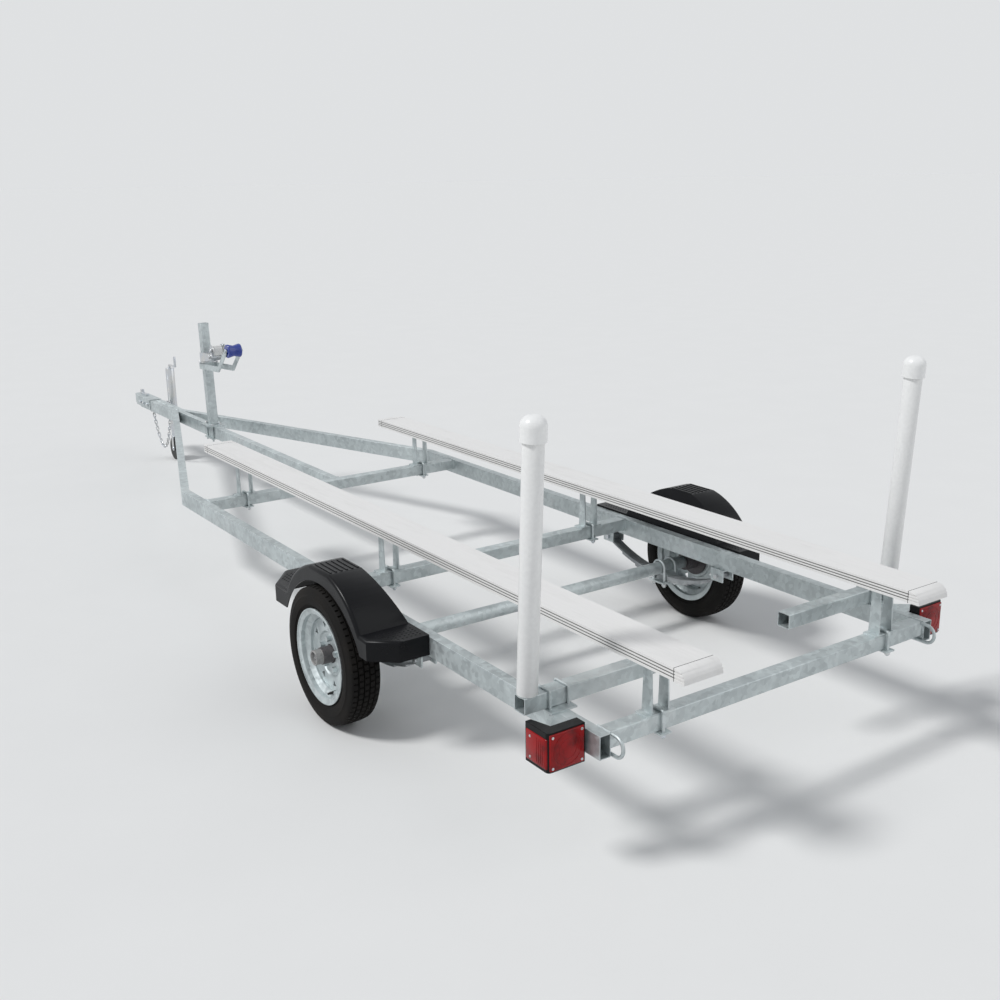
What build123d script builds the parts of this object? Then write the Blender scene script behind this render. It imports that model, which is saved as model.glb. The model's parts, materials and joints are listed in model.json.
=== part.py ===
"""Galvanised single-axle boat trailer on its swivel jack.

Millimetres. X points to starboard, Y forward to the coupler, Z up, with the
floor at Z = 0. Stations are measured forward from the axle, and every piece is
moved at the end so that the origin lies under the middle of the whole trailer.
"""
import os
from math import acos, atan2, cos, degrees, hypot, log, pi, radians, sin, sqrt, tan

from build123d import *

os.makedirs("parts", exist_ok=True)

SIDES = (("left", -1), ("right", 1))

# Frame rails: rectangular tube, bent twice, side by side at the tongue
RAIL_TOP = 402.0
RAIL_W = 38.0
RAIL_H = 70.0
WALL = 3.0
TUBE_R = 4.0
FRAME_W = 1404.0
RAIL_REAR = -1263.0
SHOULDER = 1880.0
TONGUE_ANGLE = 18.3
BEND_R = 110.0
TONGUE_FRONT = 4540.0

# Crossmembers: square tube, tops flush with the rails
CROSS = 50.0
CROSS_INSET = 31.0
CROSS_STATIONS = {"rear": RAIL_REAR + CROSS_INSET, "middle": 256.0, "front": 1635.0}

# Bunks: grooved planks on paired uprights
BUNK_W = 140.0
BUNK_T = 38.0
BUNK_X = 479.0
BUNK_RISE = 196.0
BUNK_REAR = -1414.0
BUNK_FRONT = 1942.0
BUNK_END_R = 36.0
GROOVE_W = 3.0
GROOVE_DEPTH = 2.5
GROOVE_PITCH = 9.0
UPRIGHT_T = 5.0
UPRIGHT_W = 42.0
UPRIGHT_TOP_W = 30.0
UPRIGHT_GAP = 60.0
FOOT_OVER = 18.0
CLAMP_ROD = 10.0
CLAMP_BEND = 0.8
CLAMP_END = 14.0
CLAMP_PLATE_W = 40.0
CLAMP_PLATE_OVER = 12.0

# Guide posts: plastic pipe over a stub on a square arm across the rail
ARM = 50.0
ARM_INSIDE = 414.0
ARM_BEYOND = 26.0
ARM_STATION = -1032.0
ARM_PLATE_T = 6.0
ARM_PLATE_OVER = 26.0
ARM_PLATE_REACH = 55.0
ARM_ROD = 8.0
ARM_ROD_END = 12.0
ARM_ROD_BITE = 0.6
POST_OUT = 68.0
POST_D = 60.3
POST_WALL = 4.0
POST_RISE = 800.0
POST_GAP = 2.0
SEAT_GAP = 0.3
POST_RAKE = 3.0
CAP_D = 73.0
CAP_H = 69.0
CAP_COVER = 27.0
STUB_D = 48.0
STUB_H = 120.0
STUB_ROOT = 6.0

# Wheels, hubs and axle
TYRE_R = 248.0
TYRE_W = 122.0
WHEEL_CLEAR = 90.0
RIM_R = 170.0
BEAD_R = 152.4
RIM_W = 112.0
RIM_T = 3.0
WELL_DEPTH = 22.0
DISC_X = 14.0
DISC_T = 4.0
DISC_DISH = 6.0
WINDOW_COUNT = 8
WINDOW_IN = 92.0
WINDOW_OUT = 114.0
WINDOW_HALF = 13.0
WINDOW_TURN = 31.0
LUG_PCD = 114.3
LUG_COUNT = 5
LUG_R = 11.0
LUG_H = 16.0
LUG_TURN = 90.0
HUB_FLANGE_R = 68.0
HUB_FLANGE_T = 12.0
HUB_R = 30.0
HUB_RING_R = 26.5
HUB_IN = 62.0
HUB_STEP = 48.0
HUB_OUT = 75.0
HUB_HOLLOW_R = 21.0
HUB_HOLLOW = 14.0
HUB_END_GAP = 6.0
AXLE_D = 50.8
AXLE_WALL = 5.0
SPINDLE_R = 14.0
SPINDLE_OUT = 50.0
SPINDLE_ROOT = 60.0
COLLAR_T = 4.0
RUNNING_GAP = 0.08

# Leaf springs under the axle, hung beneath the rails
LEAF_W = 45.0
LEAF_T = 7.0
LEAF_HALF_SPANS = (330.0, 245.0, 160.0)
EYE_DROP = 100.0
EYE_BORE_R = 7.0
EYE_WALL = LEAF_T
SEAT_T = 6.0
SEAT_L = 90.0
SADDLE_HALF = 22.0
SADDLE_DROP = 8.0
HANGER_T = 6.0
HANGER_GAP = 1.5
HANGER_L = 64.0
HANGER_BELOW = 20.0
EYE_BOLT_OVER = 8.0
AXLE_PLATE = 96.0
AXLE_PLATE_T = 8.0
AXLE_PLATE_OVER = 14.0
AXLE_ROD = 12.0
AXLE_ROD_END = 26.0

# Fenders: a round arch with a flat ribbed top between two low steps
FENDER_BEYOND = 40.0
FENDER_T = 4.0
FENDER_ARCH_R = 318.0
FENDER_TOP = 157.0
FENDER_STEP = 8.0
FENDER_SKIRT = 70.0
FENDER_AFT = -400.0
FENDER_FORE = 470.0
FENDER_CORNER = 78.0
FENDER_CORNER_AFT = 75.0
FENDER_CORNER_FORE = 100.0
FENDER_EDGE_R = 13.0
FLANK_FOOT = 3.0
FLANK_TOP = 60.0
LIP_R = 310.0
LIP_DROP = 47.0
RIB_COUNT = 6
RIB_W = 6.0
RIB_H = 2.5
RIB_MARGIN = 8.0

# Coupler: a channel over the tongue with a ball socket at its nose
BALL_R = 25.4
SOCKET_GAP = 0.4
SOCKET_WALL = 7.0
SOCKET_DROP = 40.0
SOCKET_DEPTH = 56.0
COUPLER_REAR = 4330.0
COUPLER_NECK = 90.0
COUPLER_SIDE = 62.0
BALL_STATION = 4644.0
COUPLER_T = 4.0
LATCH_W = 22.0
LATCH_REAR = 150.0
LATCH_FRONT = 40.0
LATCH_T = 14.0
LATCH_KNOB = 20.0
LATCH_KNOB_H = 34.0

# Winch post, leaning forward about its foot
WPOST = 50.0
WPOST_STATION = 3272.0
WPOST_H = 606.0
WPOST_RAKE = 3.0
WBASE_L = 130.0
WBASE_W = 110.0
WBASE_T = 8.0
WBASE_BOLT = 48.0
WBASE_BOLT_R = 5.0
WBASE_BOLT_END = 10.0
WBASE_UNDER = 6.0

# Winch: heights above the post's foot, module and tooth counts of its gears
WINCH_Z = 453.0
DRUM_BACK = 155.0
DRUM_W = 64.0
DRUM_CORE_R = 16.0
DRUM_FLANGE_R = 34.0
DRUM_FLANGE_T = 3.0
STRAP_R = 31.0
STRAP_W = 52.0
PLATE_T = 4.0
FRAME_GAP = 1.5
FRAME_TOP = 435.0
FRAME_BOTTOM = 372.0
FRAME_FORE = 8.0
EAR_R = 17.0
BOSS_R = 20.0
TOOTH_MODULE = 2.0
GEAR_TEETH = 36
PINION_TEETH = 12
GEAR_W = 8.0
GEAR_BESIDE = 2.0
PRESSURE_ANGLE = 20.0
BACKLASH = 0.15
MESH_GAP = 0.15
MESH_ANGLE = -50.0
SHAFT_R = 8.0
CRANK_R = 190.0
CRANK_W = 24.0
CRANK_T = 6.0
CRANK_CLEAR = 16.0
GRIP_PIN_R = 5.0
GRIP_R = 15.0
GRIP_L = 100.0
GRIP_GAP = 4.0

# Bow roller on two bent flat arms
ROLLER_R = 38.0
ROLLER_WAIST = 30.0
ROLLER_L = 80.0
ROLLER_BACK = 410.0
ROLLER_Z = 466.0
ROLLER_PIN_R = 8.0
ROLLER_SIDE_GAP = 3.0
ROLLER_ARM_W = 33.0
ROLLER_ARM_Z = 354.0
ROLLER_ELBOW_BACK = 273.0
ROLLER_ELBOW_R = 20.0
ROLLER_ARM_GRIP = 30.0

# Swivel jack on the starboard side of the tongue
JACK_STATION = 4230.0
JACK_STANDOFF = 18.0
JACK_R = 28.5
JACK_TUBE_T = 3.0
JACK_CAP_T = 4.0
JACK_RISE = 220.0
JACK_DROP = 100.0
JACK_LEG_RISE = 90.0
JACK_PLATE = 90.0
JACK_PLATE_T = 6.0
JACK_BOSS_R = 20.0
JACK_LUG = 68.0
JACK_ROOT = 4.0
JACK_SEAT_GAP = 0.3
JACK_CRANK_RISE = 20.0
JACK_CRANK_R = 112.0
JACK_CRANK_T = 6.0
JACK_CRANK_ROD = 8.0
JACK_KNOB = 70.0
JACK_WHEEL_R = 76.0
JACK_WHEEL_W = 38.0
JACK_WHEEL_CLEAR = 12.0
JACK_YOKE_T = 4.0
JACK_YOKE_HALF = 18.0
JACK_YOKE_GAP = 2.0
JACK_AXLE_R = 6.0
JACK_SLIDE_GAP = 0.5

# Tail lights: a rear lens and a side lens on one moulded housing
LIGHT_INSET = 51.0
LIGHT_GAP = 6.0
LIGHT_W = 124.0
LIGHT_H = 116.0
LIGHT_RISE = 24.0
LIGHT_D = 40.0
LIGHT_SIDE_L = 104.0
LIGHT_SIDE_T = 18.0
LIGHT_EDGE_R = 12.0
LENS_T = 8.0
LENS_PROUD = 3.0
LENS_W = 104.0
LENS_H = 107.0
SIDE_LENS_L = 94.0
SIDE_LENS_H = 84.0
LENS_MARGIN = 5.0
GUSSET_L = 97.0
GUSSET_W = 80.0
GUSSET_NOSE = 28.0
GUSSET_T = 4.0

# Tie-down loops and safety chain
LOOP_ROD = 11.0
LOOP_OUT = 15.0
LOOP_LEG = 50.0
CHAIN_WIRE = 6.0
CHAIN_INNER_L = 24.0
CHAIN_INNER_W = 9.0
CHAIN_GAP = 0.8
CHAIN_LINKS = 25
CHAIN_REAR = 4060.0
CHAIN_FRONT = 4390.0
STAPLE_R = 4.2
STAPLE_HALF = 14.0
STAPLE_DROP = 14.0

# What follows from the sizes above
RAIL_X = (FRAME_W - RAIL_W) / 2
TONGUE_X = RAIL_W / 2
KNEE = SHOULDER + (RAIL_X - TONGUE_X) / tan(radians(TONGUE_ANGLE))
FRONT_END = BALL_STATION + BALL_R + SOCKET_GAP + SOCKET_WALL
MIDDLE = (FRONT_END + BUNK_REAR) / 2
RAIL_IN = RAIL_X - RAIL_W / 2
RAIL_OUT = RAIL_X + RAIL_W / 2
RAIL_BOTTOM = RAIL_TOP - RAIL_H
SPRING_X = RAIL_X
BUNK_TOP = RAIL_TOP + BUNK_RISE
BUNK_BOTTOM = BUNK_TOP - BUNK_T
ARM_Z = RAIL_TOP + ARM_PLATE_T
POST_X = RAIL_OUT + POST_OUT
POST_TOP = RAIL_TOP + POST_RISE
WHEEL_X = RAIL_OUT + WHEEL_CLEAR + TYRE_W / 2
FENDER_OUT = WHEEL_X + FENDER_BEYOND
AXLE_Z = TYRE_R
AXLE_R = AXLE_D / 2
AXLE_TUBE_HALF = WHEEL_X - HUB_IN - HUB_END_GAP - COLLAR_T
EYE_Z = RAIL_TOP - EYE_DROP
POST_BACK = -WPOST / 2
DRUM_Y = POST_BACK - DRUM_BACK
GEAR_R = TOOTH_MODULE * GEAR_TEETH / 2
PINION_R = TOOTH_MODULE * PINION_TEETH / 2
GEAR_SPACING = GEAR_R + PINION_R + MESH_GAP
PINION_Y = DRUM_Y + GEAR_SPACING * cos(radians(MESH_ANGLE))
PINION_Z = WINCH_Z + GEAR_SPACING * sin(radians(MESH_ANGLE))
ROLLER_Y = POST_BACK - ROLLER_BACK
JACK_X = RAIL_W + JACK_STANDOFF + JACK_R
JACK_TOP = RAIL_TOP + JACK_RISE
JACK_BOTTOM = RAIL_TOP - JACK_DROP
JACK_PIVOT_Z = RAIL_TOP - RAIL_H / 2
LIGHT_REAR = RAIL_REAR + LIGHT_INSET
LIGHT_IN = RAIL_OUT + LIGHT_GAP
LIGHT_OUT = LIGHT_IN + LIGHT_W
LIGHT_TOP = RAIL_TOP + LIGHT_RISE
LOOP_R = (RAIL_H - LOOP_ROD) / 2
LOOP_X = RAIL_IN - LOOP_ROD / 2


def save(name, *solids):
    """Write one node, moved so that the trailer's middle is at Y = 0."""
    placed = [Pos(0, -MIDDLE, 0) * solid for item in solids for solid in item.solids()]
    export_step(placed[0] if len(placed) == 1 else Compound(placed), f"parts/{name}.step")


def box(x0, x1, y0, y1, z0, z1):
    """A block between two corners."""
    centre = Pos((x0 + x1) / 2, (y0 + y1) / 2, (z0 + z1) / 2)
    return centre * Box(abs(x1 - x0), abs(y1 - y0), abs(z1 - z0))


def rod_x(r, x0, x1, y, z):
    """A round bar along X."""
    return Pos((x0 + x1) / 2, y, z) * Rot(0, 90, 0) * Cylinder(r, abs(x1 - x0))


def rod_y(r, x, y0, y1, z):
    """A round bar along Y."""
    return Pos(x, (y0 + y1) / 2, z) * Rot(90, 0, 0) * Cylinder(r, abs(y1 - y0))


def rod_z(r, x, y, z0, z1):
    """A round bar along Z."""
    return Pos(x, y, (z0 + z1) / 2) * Cylinder(r, abs(z1 - z0))


def spun_x(points, x=0.0, y=0.0, z=0.0):
    """Turn an outline of (along X, radius) points about an axis along X."""
    outline = make_face(Polyline(*[(a, r) for a, r in points], close=True))
    return Pos(x, y, z) * revolve(outline, Axis.X)


def tube_section(wide, high, wall=WALL):
    """Section of a rectangular tube with rounded corners."""
    inner_r = max(TUBE_R - wall, wall / 4)
    return RectangleRounded(wide, high, TUBE_R) - RectangleRounded(wide - 2 * wall, high - 2 * wall, inner_r)


def tube_x(x0, x1, y, z):
    """A square crossmember tube along X, open at both ends."""
    section = Pos(y, z) * tube_section(CROSS, CROSS)
    return Pos(min(x0, x1), 0, 0) * extrude(Plane.YZ * section, abs(x1 - x0))


def mirrored(side, shape):
    """A shape drawn to starboard, placed on its own side."""
    return shape if side > 0 else mirror(shape, Plane.YZ)


def clamp_over(x, y0, y1, z_low, z_top, rod=CLAMP_ROD):
    """A square U-bolt in the YZ plane: legs at y0 and y1, bridge at z_top."""
    corners = ((x, y0, z_low), (x, y0, z_top), (x, y1, z_top), (x, y1, z_low))
    path = FilletPolyline(*corners, radius=rod * CLAMP_BEND)
    return sweep(Plane(origin=corners[0], z_dir=(0, 0, 1)) * Circle(rod / 2), path=path)


# Frame
def rail(side):
    """One bent rail, from the open rear end to the coupler."""
    def path(overrun):
        return FilletPolyline(
            (side * RAIL_X, RAIL_REAR - overrun),
            (side * RAIL_X, SHOULDER),
            (side * TONGUE_X, KNEE),
            (side * TONGUE_X, TONGUE_FRONT + overrun),
            radius=BEND_R,
        )
    outer = extrude(trace(path(0), RAIL_W), RAIL_H)
    inner = extrude(trace(path(5), RAIL_W - 2 * WALL), RAIL_H - 2 * WALL)
    return Pos(0, 0, RAIL_TOP - RAIL_H) * (outer - Pos(0, 0, WALL) * inner)


for name, side in SIDES:
    save(f"rail_{name}", rail(side))

v_slope = tan(radians(TONGUE_ANGLE))
leg_half = RAIL_W / 2 / cos(radians(TONGUE_ANGLE))
v_meet = KNEE + (TONGUE_X - leg_half - RAIL_W / 2) / v_slope
front_face = CROSS_STATIONS["front"] + CROSS / 2
tongue = box(-RAIL_W / 2, RAIL_W / 2, front_face, v_meet, RAIL_BOTTOM, RAIL_TOP)
bore_half = RAIL_W / 2 - WALL
tongue -= box(-bore_half, bore_half, front_face - 1, v_meet + 1, RAIL_BOTTOM + WALL, RAIL_TOP - WALL)
nose_y = v_meet + (RAIL_W / 2 - 1) / v_slope
nose_outline = make_face(
    Polyline((-RAIL_W / 2, v_meet), (RAIL_W / 2, v_meet), (1, nose_y), (-1, nose_y), close=True)
)
tongue += Pos(0, 0, RAIL_BOTTOM) * extrude(nose_outline, RAIL_H)
save("tongue_tube", tongue)

for name, station in CROSS_STATIONS.items():
    save(f"crossmember_{name}", tube_x(-RAIL_IN, RAIL_IN, station, RAIL_TOP - CROSS / 2))


# Bunks
def bunk():
    """A plank with three grooves along each edge and a rolled rear end."""
    section = Rectangle(BUNK_W, BUNK_T)
    for edge in (-1, 1):
        for row in (-1, 0, 1):
            section -= Pos(edge * BUNK_W / 2, row * GROOVE_PITCH) * Rectangle(2 * GROOVE_DEPTH, GROOVE_W)
    plank = extrude(Plane.XZ * section, BUNK_REAR - BUNK_FRONT)
    plank = Pos(0, BUNK_REAR, 0) * plank
    cut = box(-BUNK_W, BUNK_W, BUNK_REAR - 1, BUNK_REAR + BUNK_END_R, -BUNK_T / 2 - 1, BUNK_T / 2 + 1)
    cut -= rod_x(BUNK_END_R, -BUNK_W, BUNK_W, BUNK_REAR + BUNK_END_R, BUNK_T / 2 - BUNK_END_R)
    cut -= box(-BUNK_W, BUNK_W, BUNK_REAR, BUNK_REAR + BUNK_END_R, -BUNK_T, BUNK_T / 2 - BUNK_END_R)
    return plank - cut


def bunk_bracket(x, station):
    """Two tapered uprights on a foot plate, clamped over the crossmember."""
    foot_half = UPRIGHT_GAP / 2 + UPRIGHT_T + FOOT_OVER
    y0, y1 = station - CROSS / 2, station + CROSS / 2
    foot = box(x - foot_half, x + foot_half, y0, y1, RAIL_TOP, RAIL_TOP + UPRIGHT_T)
    height = BUNK_BOTTOM - RAIL_TOP - UPRIGHT_T
    outline = make_face(
        Polyline(
            (-UPRIGHT_W / 2, 0), (UPRIGHT_W / 2, 0), (UPRIGHT_TOP_W / 2, height), (-UPRIGHT_TOP_W / 2, height),
            close=True,
        )
    )
    bracket = foot
    for hand in (-1, 1):
        plate = extrude(Plane.YZ * outline, UPRIGHT_T)
        x_plate = x + hand * UPRIGHT_GAP / 2 - UPRIGHT_T / 2
        bracket += Pos(x_plate, station, RAIL_TOP + UPRIGHT_T) * plate
    bracket += box(
        x - UPRIGHT_GAP / 2, x + UPRIGHT_GAP / 2, station - UPRIGHT_TOP_W / 2, station + UPRIGHT_TOP_W / 2,
        BUNK_BOTTOM - UPRIGHT_T, BUNK_BOTTOM,
    )
    under = RAIL_TOP - CROSS - UPRIGHT_T
    reach = CROSS / 2 + CLAMP_ROD * CLAMP_BEND
    y0, y1 = station - reach - CLAMP_PLATE_OVER, station + reach + CLAMP_PLATE_OVER
    low = box(x - CLAMP_PLATE_W / 2, x + CLAMP_PLATE_W / 2, y0, y1, under, under + UPRIGHT_T)
    bridge_z = RAIL_TOP + UPRIGHT_T + CLAMP_ROD / 2
    clamp = clamp_over(x, station - reach, station + reach, under - CLAMP_END, bridge_z)
    return bracket + clamp + low


for name, side in SIDES:
    save(f"bunk_{name}", Pos(side * BUNK_X, 0, BUNK_TOP - BUNK_T / 2) * bunk())
    brackets = [bunk_bracket(side * BUNK_X, station) for station in CROSS_STATIONS.values()]
    save(f"bunk_brackets_{name}", *brackets)


# Guide posts
def raked(shape, x):
    """Lean a shape aft about the top of the guide arm."""
    foot = Pos(x, ARM_STATION, ARM_Z + ARM)
    return foot * Rot(POST_RAKE, 0, 0) * shape


for name, side in SIDES:
    y0, y1 = ARM_STATION - ARM / 2, ARM_STATION + ARM / 2
    x0, x1 = sorted((side * (RAIL_IN - ARM_INSIDE), side * (POST_X + ARM_BEYOND)))
    arm = tube_x(x0, x1, ARM_STATION, ARM_Z + ARM / 2)
    collar_h = POST_GAP - SEAT_GAP + STUB_ROOT
    stub = Pos(0, 0, STUB_H / 2 - STUB_ROOT) * Cylinder(STUB_D / 2, STUB_H)
    stub += Pos(0, 0, collar_h / 2 - STUB_ROOT) * Cylinder(POST_D / 2 - 1, collar_h)
    stub = raked(stub, side * POST_X)
    arm += stub - box(-FRAME_W, FRAME_W, y0 - ARM, y1 + ARM, RAIL_TOP, ARM_Z + ARM - WALL)
    plate_in, plate_out = side * (RAIL_IN - ARM_PLATE_OVER), side * (RAIL_OUT + ARM_PLATE_OVER)
    arm += box(plate_in, plate_out, ARM_STATION - ARM_PLATE_REACH, ARM_STATION + ARM_PLATE_REACH, RAIL_TOP, ARM_Z)
    reach = ARM / 2 + ARM_ROD * CLAMP_BEND
    for x in (RAIL_IN - ARM_PLATE_OVER / 2, RAIL_OUT + ARM_PLATE_OVER / 2):
        ends = ARM_STATION - reach, ARM_STATION + reach
        bridge_z = ARM_Z + ARM + ARM_ROD / 2 - ARM_ROD_BITE
        arm += clamp_over(side * x, *ends, RAIL_TOP - ARM_ROD_END, bridge_z, ARM_ROD)
    save(f"guide_arm_{name}", arm)

    post_h = POST_TOP - ARM_Z - ARM - POST_GAP
    post = Cylinder(POST_D / 2, post_h) - Cylinder(POST_D / 2 - POST_WALL, post_h + 2)
    cap = Cylinder(CAP_D / 2, CAP_H, align=(Align.CENTER, Align.CENTER, Align.MIN))
    cap = fillet(cap.edges().filter_by(GeomType.CIRCLE).group_by(Axis.Z)[-1], CAP_D / 2 - 8)
    cap -= Cylinder(POST_D / 2, CAP_COVER, align=(Align.CENTER, Align.CENTER, Align.MIN))
    save(f"guide_post_{name}", raked(Pos(0, 0, POST_GAP + post_h / 2) * post, side * POST_X))
    save(f"guide_cap_{name}", raked(Pos(0, 0, POST_GAP + post_h - CAP_COVER) * cap, side * POST_X))


# Axle, springs and their mounts
spring_top = AXLE_Z - AXLE_R - SEAT_T
sag = EYE_Z - EYE_BORE_R - spring_top
spring_r = (LEAF_HALF_SPANS[0] ** 2 + sag ** 2) / (2 * sag)
axle = rod_x(AXLE_R, -AXLE_TUBE_HALF, AXLE_TUBE_HALF, 0, AXLE_Z)
saddle = make_face(Polyline(
    (-SEAT_L / 2, spring_top - SEAT_T), (SEAT_L / 2, spring_top - SEAT_T), (SEAT_L / 2, spring_top + SEAT_T),
    (SADDLE_HALF, AXLE_Z - SADDLE_DROP), (-SADDLE_HALF, AXLE_Z - SADDLE_DROP),
    (-SEAT_L / 2, spring_top + SEAT_T), close=True,
))
for name, side in SIDES:
    seat_x = side * SPRING_X
    seat = Pos(seat_x - LEAF_W / 2, 0, 0) * extrude(Plane.YZ * saddle, LEAF_W)
    axle += seat & rod_x(spring_r - RUNNING_GAP, seat_x - LEAF_W, seat_x + LEAF_W, 0, spring_top + spring_r)
axle -= rod_x(AXLE_R - AXLE_WALL, -FRAME_W, FRAME_W, 0, AXLE_Z)
for name, side in SIDES:
    axle += rod_x(AXLE_R, side * (AXLE_TUBE_HALF - 2 * COLLAR_T), side * (AXLE_TUBE_HALF + COLLAR_T), 0, AXLE_Z)
    axle += rod_x(SPINDLE_R, side * (AXLE_TUBE_HALF - SPINDLE_ROOT), side * (WHEEL_X + SPINDLE_OUT), 0, AXLE_Z)
save("axle", axle)


def leaf_spring(x):
    """Three curved leaves, the longest with an eye at each end."""
    spring = None
    for row, half in enumerate(LEAF_HALF_SPANS):
        inner = spring_r + row * LEAF_T
        outer = inner + LEAF_T
        ring = Circle(outer) - Circle(inner)
        ring &= Pos(0, -spring_r) * Rectangle(2 * half, 2 * spring_r)
        leaf = extrude(Plane.YZ * ring, LEAF_W)
        spring = leaf if spring is None else spring + leaf
    spring = Pos(x - LEAF_W / 2, 0, spring_top + spring_r) * spring
    for end in (-1, 1):
        y = end * LEAF_HALF_SPANS[0]
        spring += rod_x(EYE_BORE_R + EYE_WALL, x - LEAF_W / 2, x + LEAF_W / 2, y, EYE_Z)
        spring -= rod_x(EYE_BORE_R, x - LEAF_W, x + LEAF_W, y, EYE_Z)
    return spring


def axle_clamp(x, low):
    """A round-topped U-bolt over the axle tube."""
    reach = AXLE_R + SEAT_GAP + AXLE_ROD / 2
    legs = [Line((x, -reach, low), (x, -reach, AXLE_Z)), Line((x, reach, AXLE_Z), (x, reach, low))]
    top = ThreePointArc((x, -reach, AXLE_Z), (x, 0, AXLE_Z + reach), (x, reach, AXLE_Z))
    return sweep(Pos(x, -reach, low) * Circle(AXLE_ROD / 2), path=Wire([legs[0], top, legs[1]]))


def spring_mount(side):
    """Hangers under the rail, eye bolts, and the clamps that hold the axle."""
    x = side * SPRING_X
    pieces = []
    half = LEAF_W / 2 + HANGER_GAP
    for end in (-1, 1):
        y = end * LEAF_HALF_SPANS[0]
        y0, y1 = y - HANGER_L / 2, y + HANGER_L / 2
        hanger = box(x - half - HANGER_T, x + half + HANGER_T, y0, y1, EYE_Z - HANGER_BELOW, RAIL_BOTTOM)
        hanger -= box(x - half, x + half, y0 - 1, y1 + 1, EYE_Z - RAIL_H, RAIL_BOTTOM - HANGER_T)
        bolt_half = half + HANGER_T + EYE_BOLT_OVER
        hanger += rod_x(EYE_BORE_R - RUNNING_GAP, x - bolt_half, x + bolt_half, y, EYE_Z)
        pieces.append(hanger)
    plate_top = spring_top - LEAF_T * len(LEAF_HALF_SPANS)
    reach = AXLE_R + SEAT_GAP + AXLE_ROD / 2 + AXLE_PLATE_OVER
    plate = box(x - AXLE_PLATE / 2, x + AXLE_PLATE / 2, -reach, reach, plate_top - AXLE_PLATE_T, plate_top)
    for hand in (-1, 1):
        plate += axle_clamp(x + hand * (LEAF_W / 2 + AXLE_ROD / 2 + 1), plate_top - AXLE_ROD_END)
    pieces.append(plate)
    return pieces


for name, side in SIDES:
    save(f"leaf_spring_{name}", leaf_spring(side * SPRING_X))
mounts = [piece for name, side in SIDES for piece in spring_mount(side)]
save("spring_mounts", *mounts)


# Wheels: outlines run outwards along the axle from the wheel's centre plane
def outward(side, shape):
    """Place a wheel piece, drawn with outboard along +X, on its side."""
    return Pos(side * WHEEL_X, 0, AXLE_Z) * mirrored(side, shape)


def tyre():
    """A carcass open to the rim, with a rounded crown."""
    half, bead, wall = TYRE_W / 2, RIM_W / 2 - 8.3, 9.0
    outer = [
        (-bead, BEAD_R + 0.3), (-bead, RIM_R + 1), (-half, (BEAD_R + TYRE_R) / 2), (-half + 8, TYRE_R - 14),
        (-half + 20, TYRE_R - 2), (0, TYRE_R), (half - 20, TYRE_R - 2), (half - 8, TYRE_R - 14),
        (half, (BEAD_R + TYRE_R) / 2), (bead, RIM_R + 1), (bead, BEAD_R + 0.3),
    ]
    inner = [
        (bead - wall, BEAD_R + 0.3), (half - wall, (BEAD_R + TYRE_R) / 2), (half - 22, TYRE_R - 14),
        (-half + 22, TYRE_R - 14), (-half + wall, (BEAD_R + TYRE_R) / 2), (-bead + wall, BEAD_R + 0.3),
    ]
    return spun_x(outer + inner)


def rim():
    """Drop-centre steel wheel: a dished disc with windows and five nuts."""
    half, well, face = RIM_W / 2, BEAD_R - WELL_DEPTH, DISC_X - DISC_DISH
    outer = [
        (-half, RIM_R), (-half, RIM_R - 4), (-half + 6, BEAD_R - RIM_T), (-half + 20, BEAD_R - RIM_T),
        (-half + 34, well), (half - 34, well), (half - 22, BEAD_R - RIM_T), (half - 6, BEAD_R - RIM_T),
        (half - 2, RIM_R - 4), (half, RIM_R - 4), (half, RIM_R),
        (half - 5, RIM_R), (half - 8, BEAD_R), (half - 23, BEAD_R), (half - 35, well + RIM_T),
        (-half + 35, well + RIM_T), (-half + 21, BEAD_R), (-half + 8, BEAD_R), (-half + 5, RIM_R),
    ]
    wheel = spun_x(outer)
    dish_r = LUG_PCD / 2 + LUG_R + 8
    disc = spun_x([
        (face, HUB_R + 4), (face, dish_r), (DISC_X, dish_r + DISC_DISH), (DISC_X, well + 1),
        (DISC_X - 2 * DISC_T, well + 1), (DISC_X - 2 * DISC_T, well - DISC_T), (DISC_X - DISC_T, well - DISC_T),
        (DISC_X - DISC_T, dish_r + DISC_DISH + 2), (face - DISC_T, dish_r + 2), (face - DISC_T, HUB_R + 4),
    ])
    corners = (WINDOW_IN, 0), (WINDOW_OUT, WINDOW_HALF), (WINDOW_OUT, -WINDOW_HALF)
    window = Pos(face - DISC_T, 0, 0) * extrude(Plane.YZ * make_face(Polyline(*corners, close=True)), RIM_W)
    for index in range(WINDOW_COUNT):
        disc -= Rot(WINDOW_TURN + index * 360 / WINDOW_COUNT, 0, 0) * window
    nut = Pos(face - 0.1, LUG_PCD / 2, 0) * Rot(0, 90, 0) * extrude(RegularPolygon(LUG_R, 6), LUG_H)
    for index in range(LUG_COUNT):
        disc += Rot(LUG_TURN + index * 360 / LUG_COUNT, 0, 0) * nut
    return wheel + disc


def hub():
    """Hub with its wheel flange, bearing barrel and open-ended cap."""
    back = DISC_X - DISC_DISH - DISC_T
    body = spun_x([
        (-HUB_IN, 0), (-HUB_IN, HUB_R + 8), (back - HUB_FLANGE_T, HUB_R + 8), (back - HUB_FLANGE_T, HUB_FLANGE_R),
        (back, HUB_FLANGE_R), (back, HUB_R), (HUB_STEP, HUB_R), (HUB_STEP, HUB_RING_R), (HUB_OUT, HUB_RING_R),
        (HUB_OUT, HUB_HOLLOW_R), (HUB_OUT - HUB_HOLLOW, HUB_HOLLOW_R), (HUB_OUT - HUB_HOLLOW, 0),
    ])
    return body - rod_x(SPINDLE_R + RUNNING_GAP, -HUB_IN - 1, SPINDLE_OUT + 1, 0, 0)


for name, side in SIDES:
    save(f"tyre_{name}", outward(side, tyre()))
    save(f"rim_{name}", outward(side, rim()))
    save(f"hub_{name}", outward(side, hub()))


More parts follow.
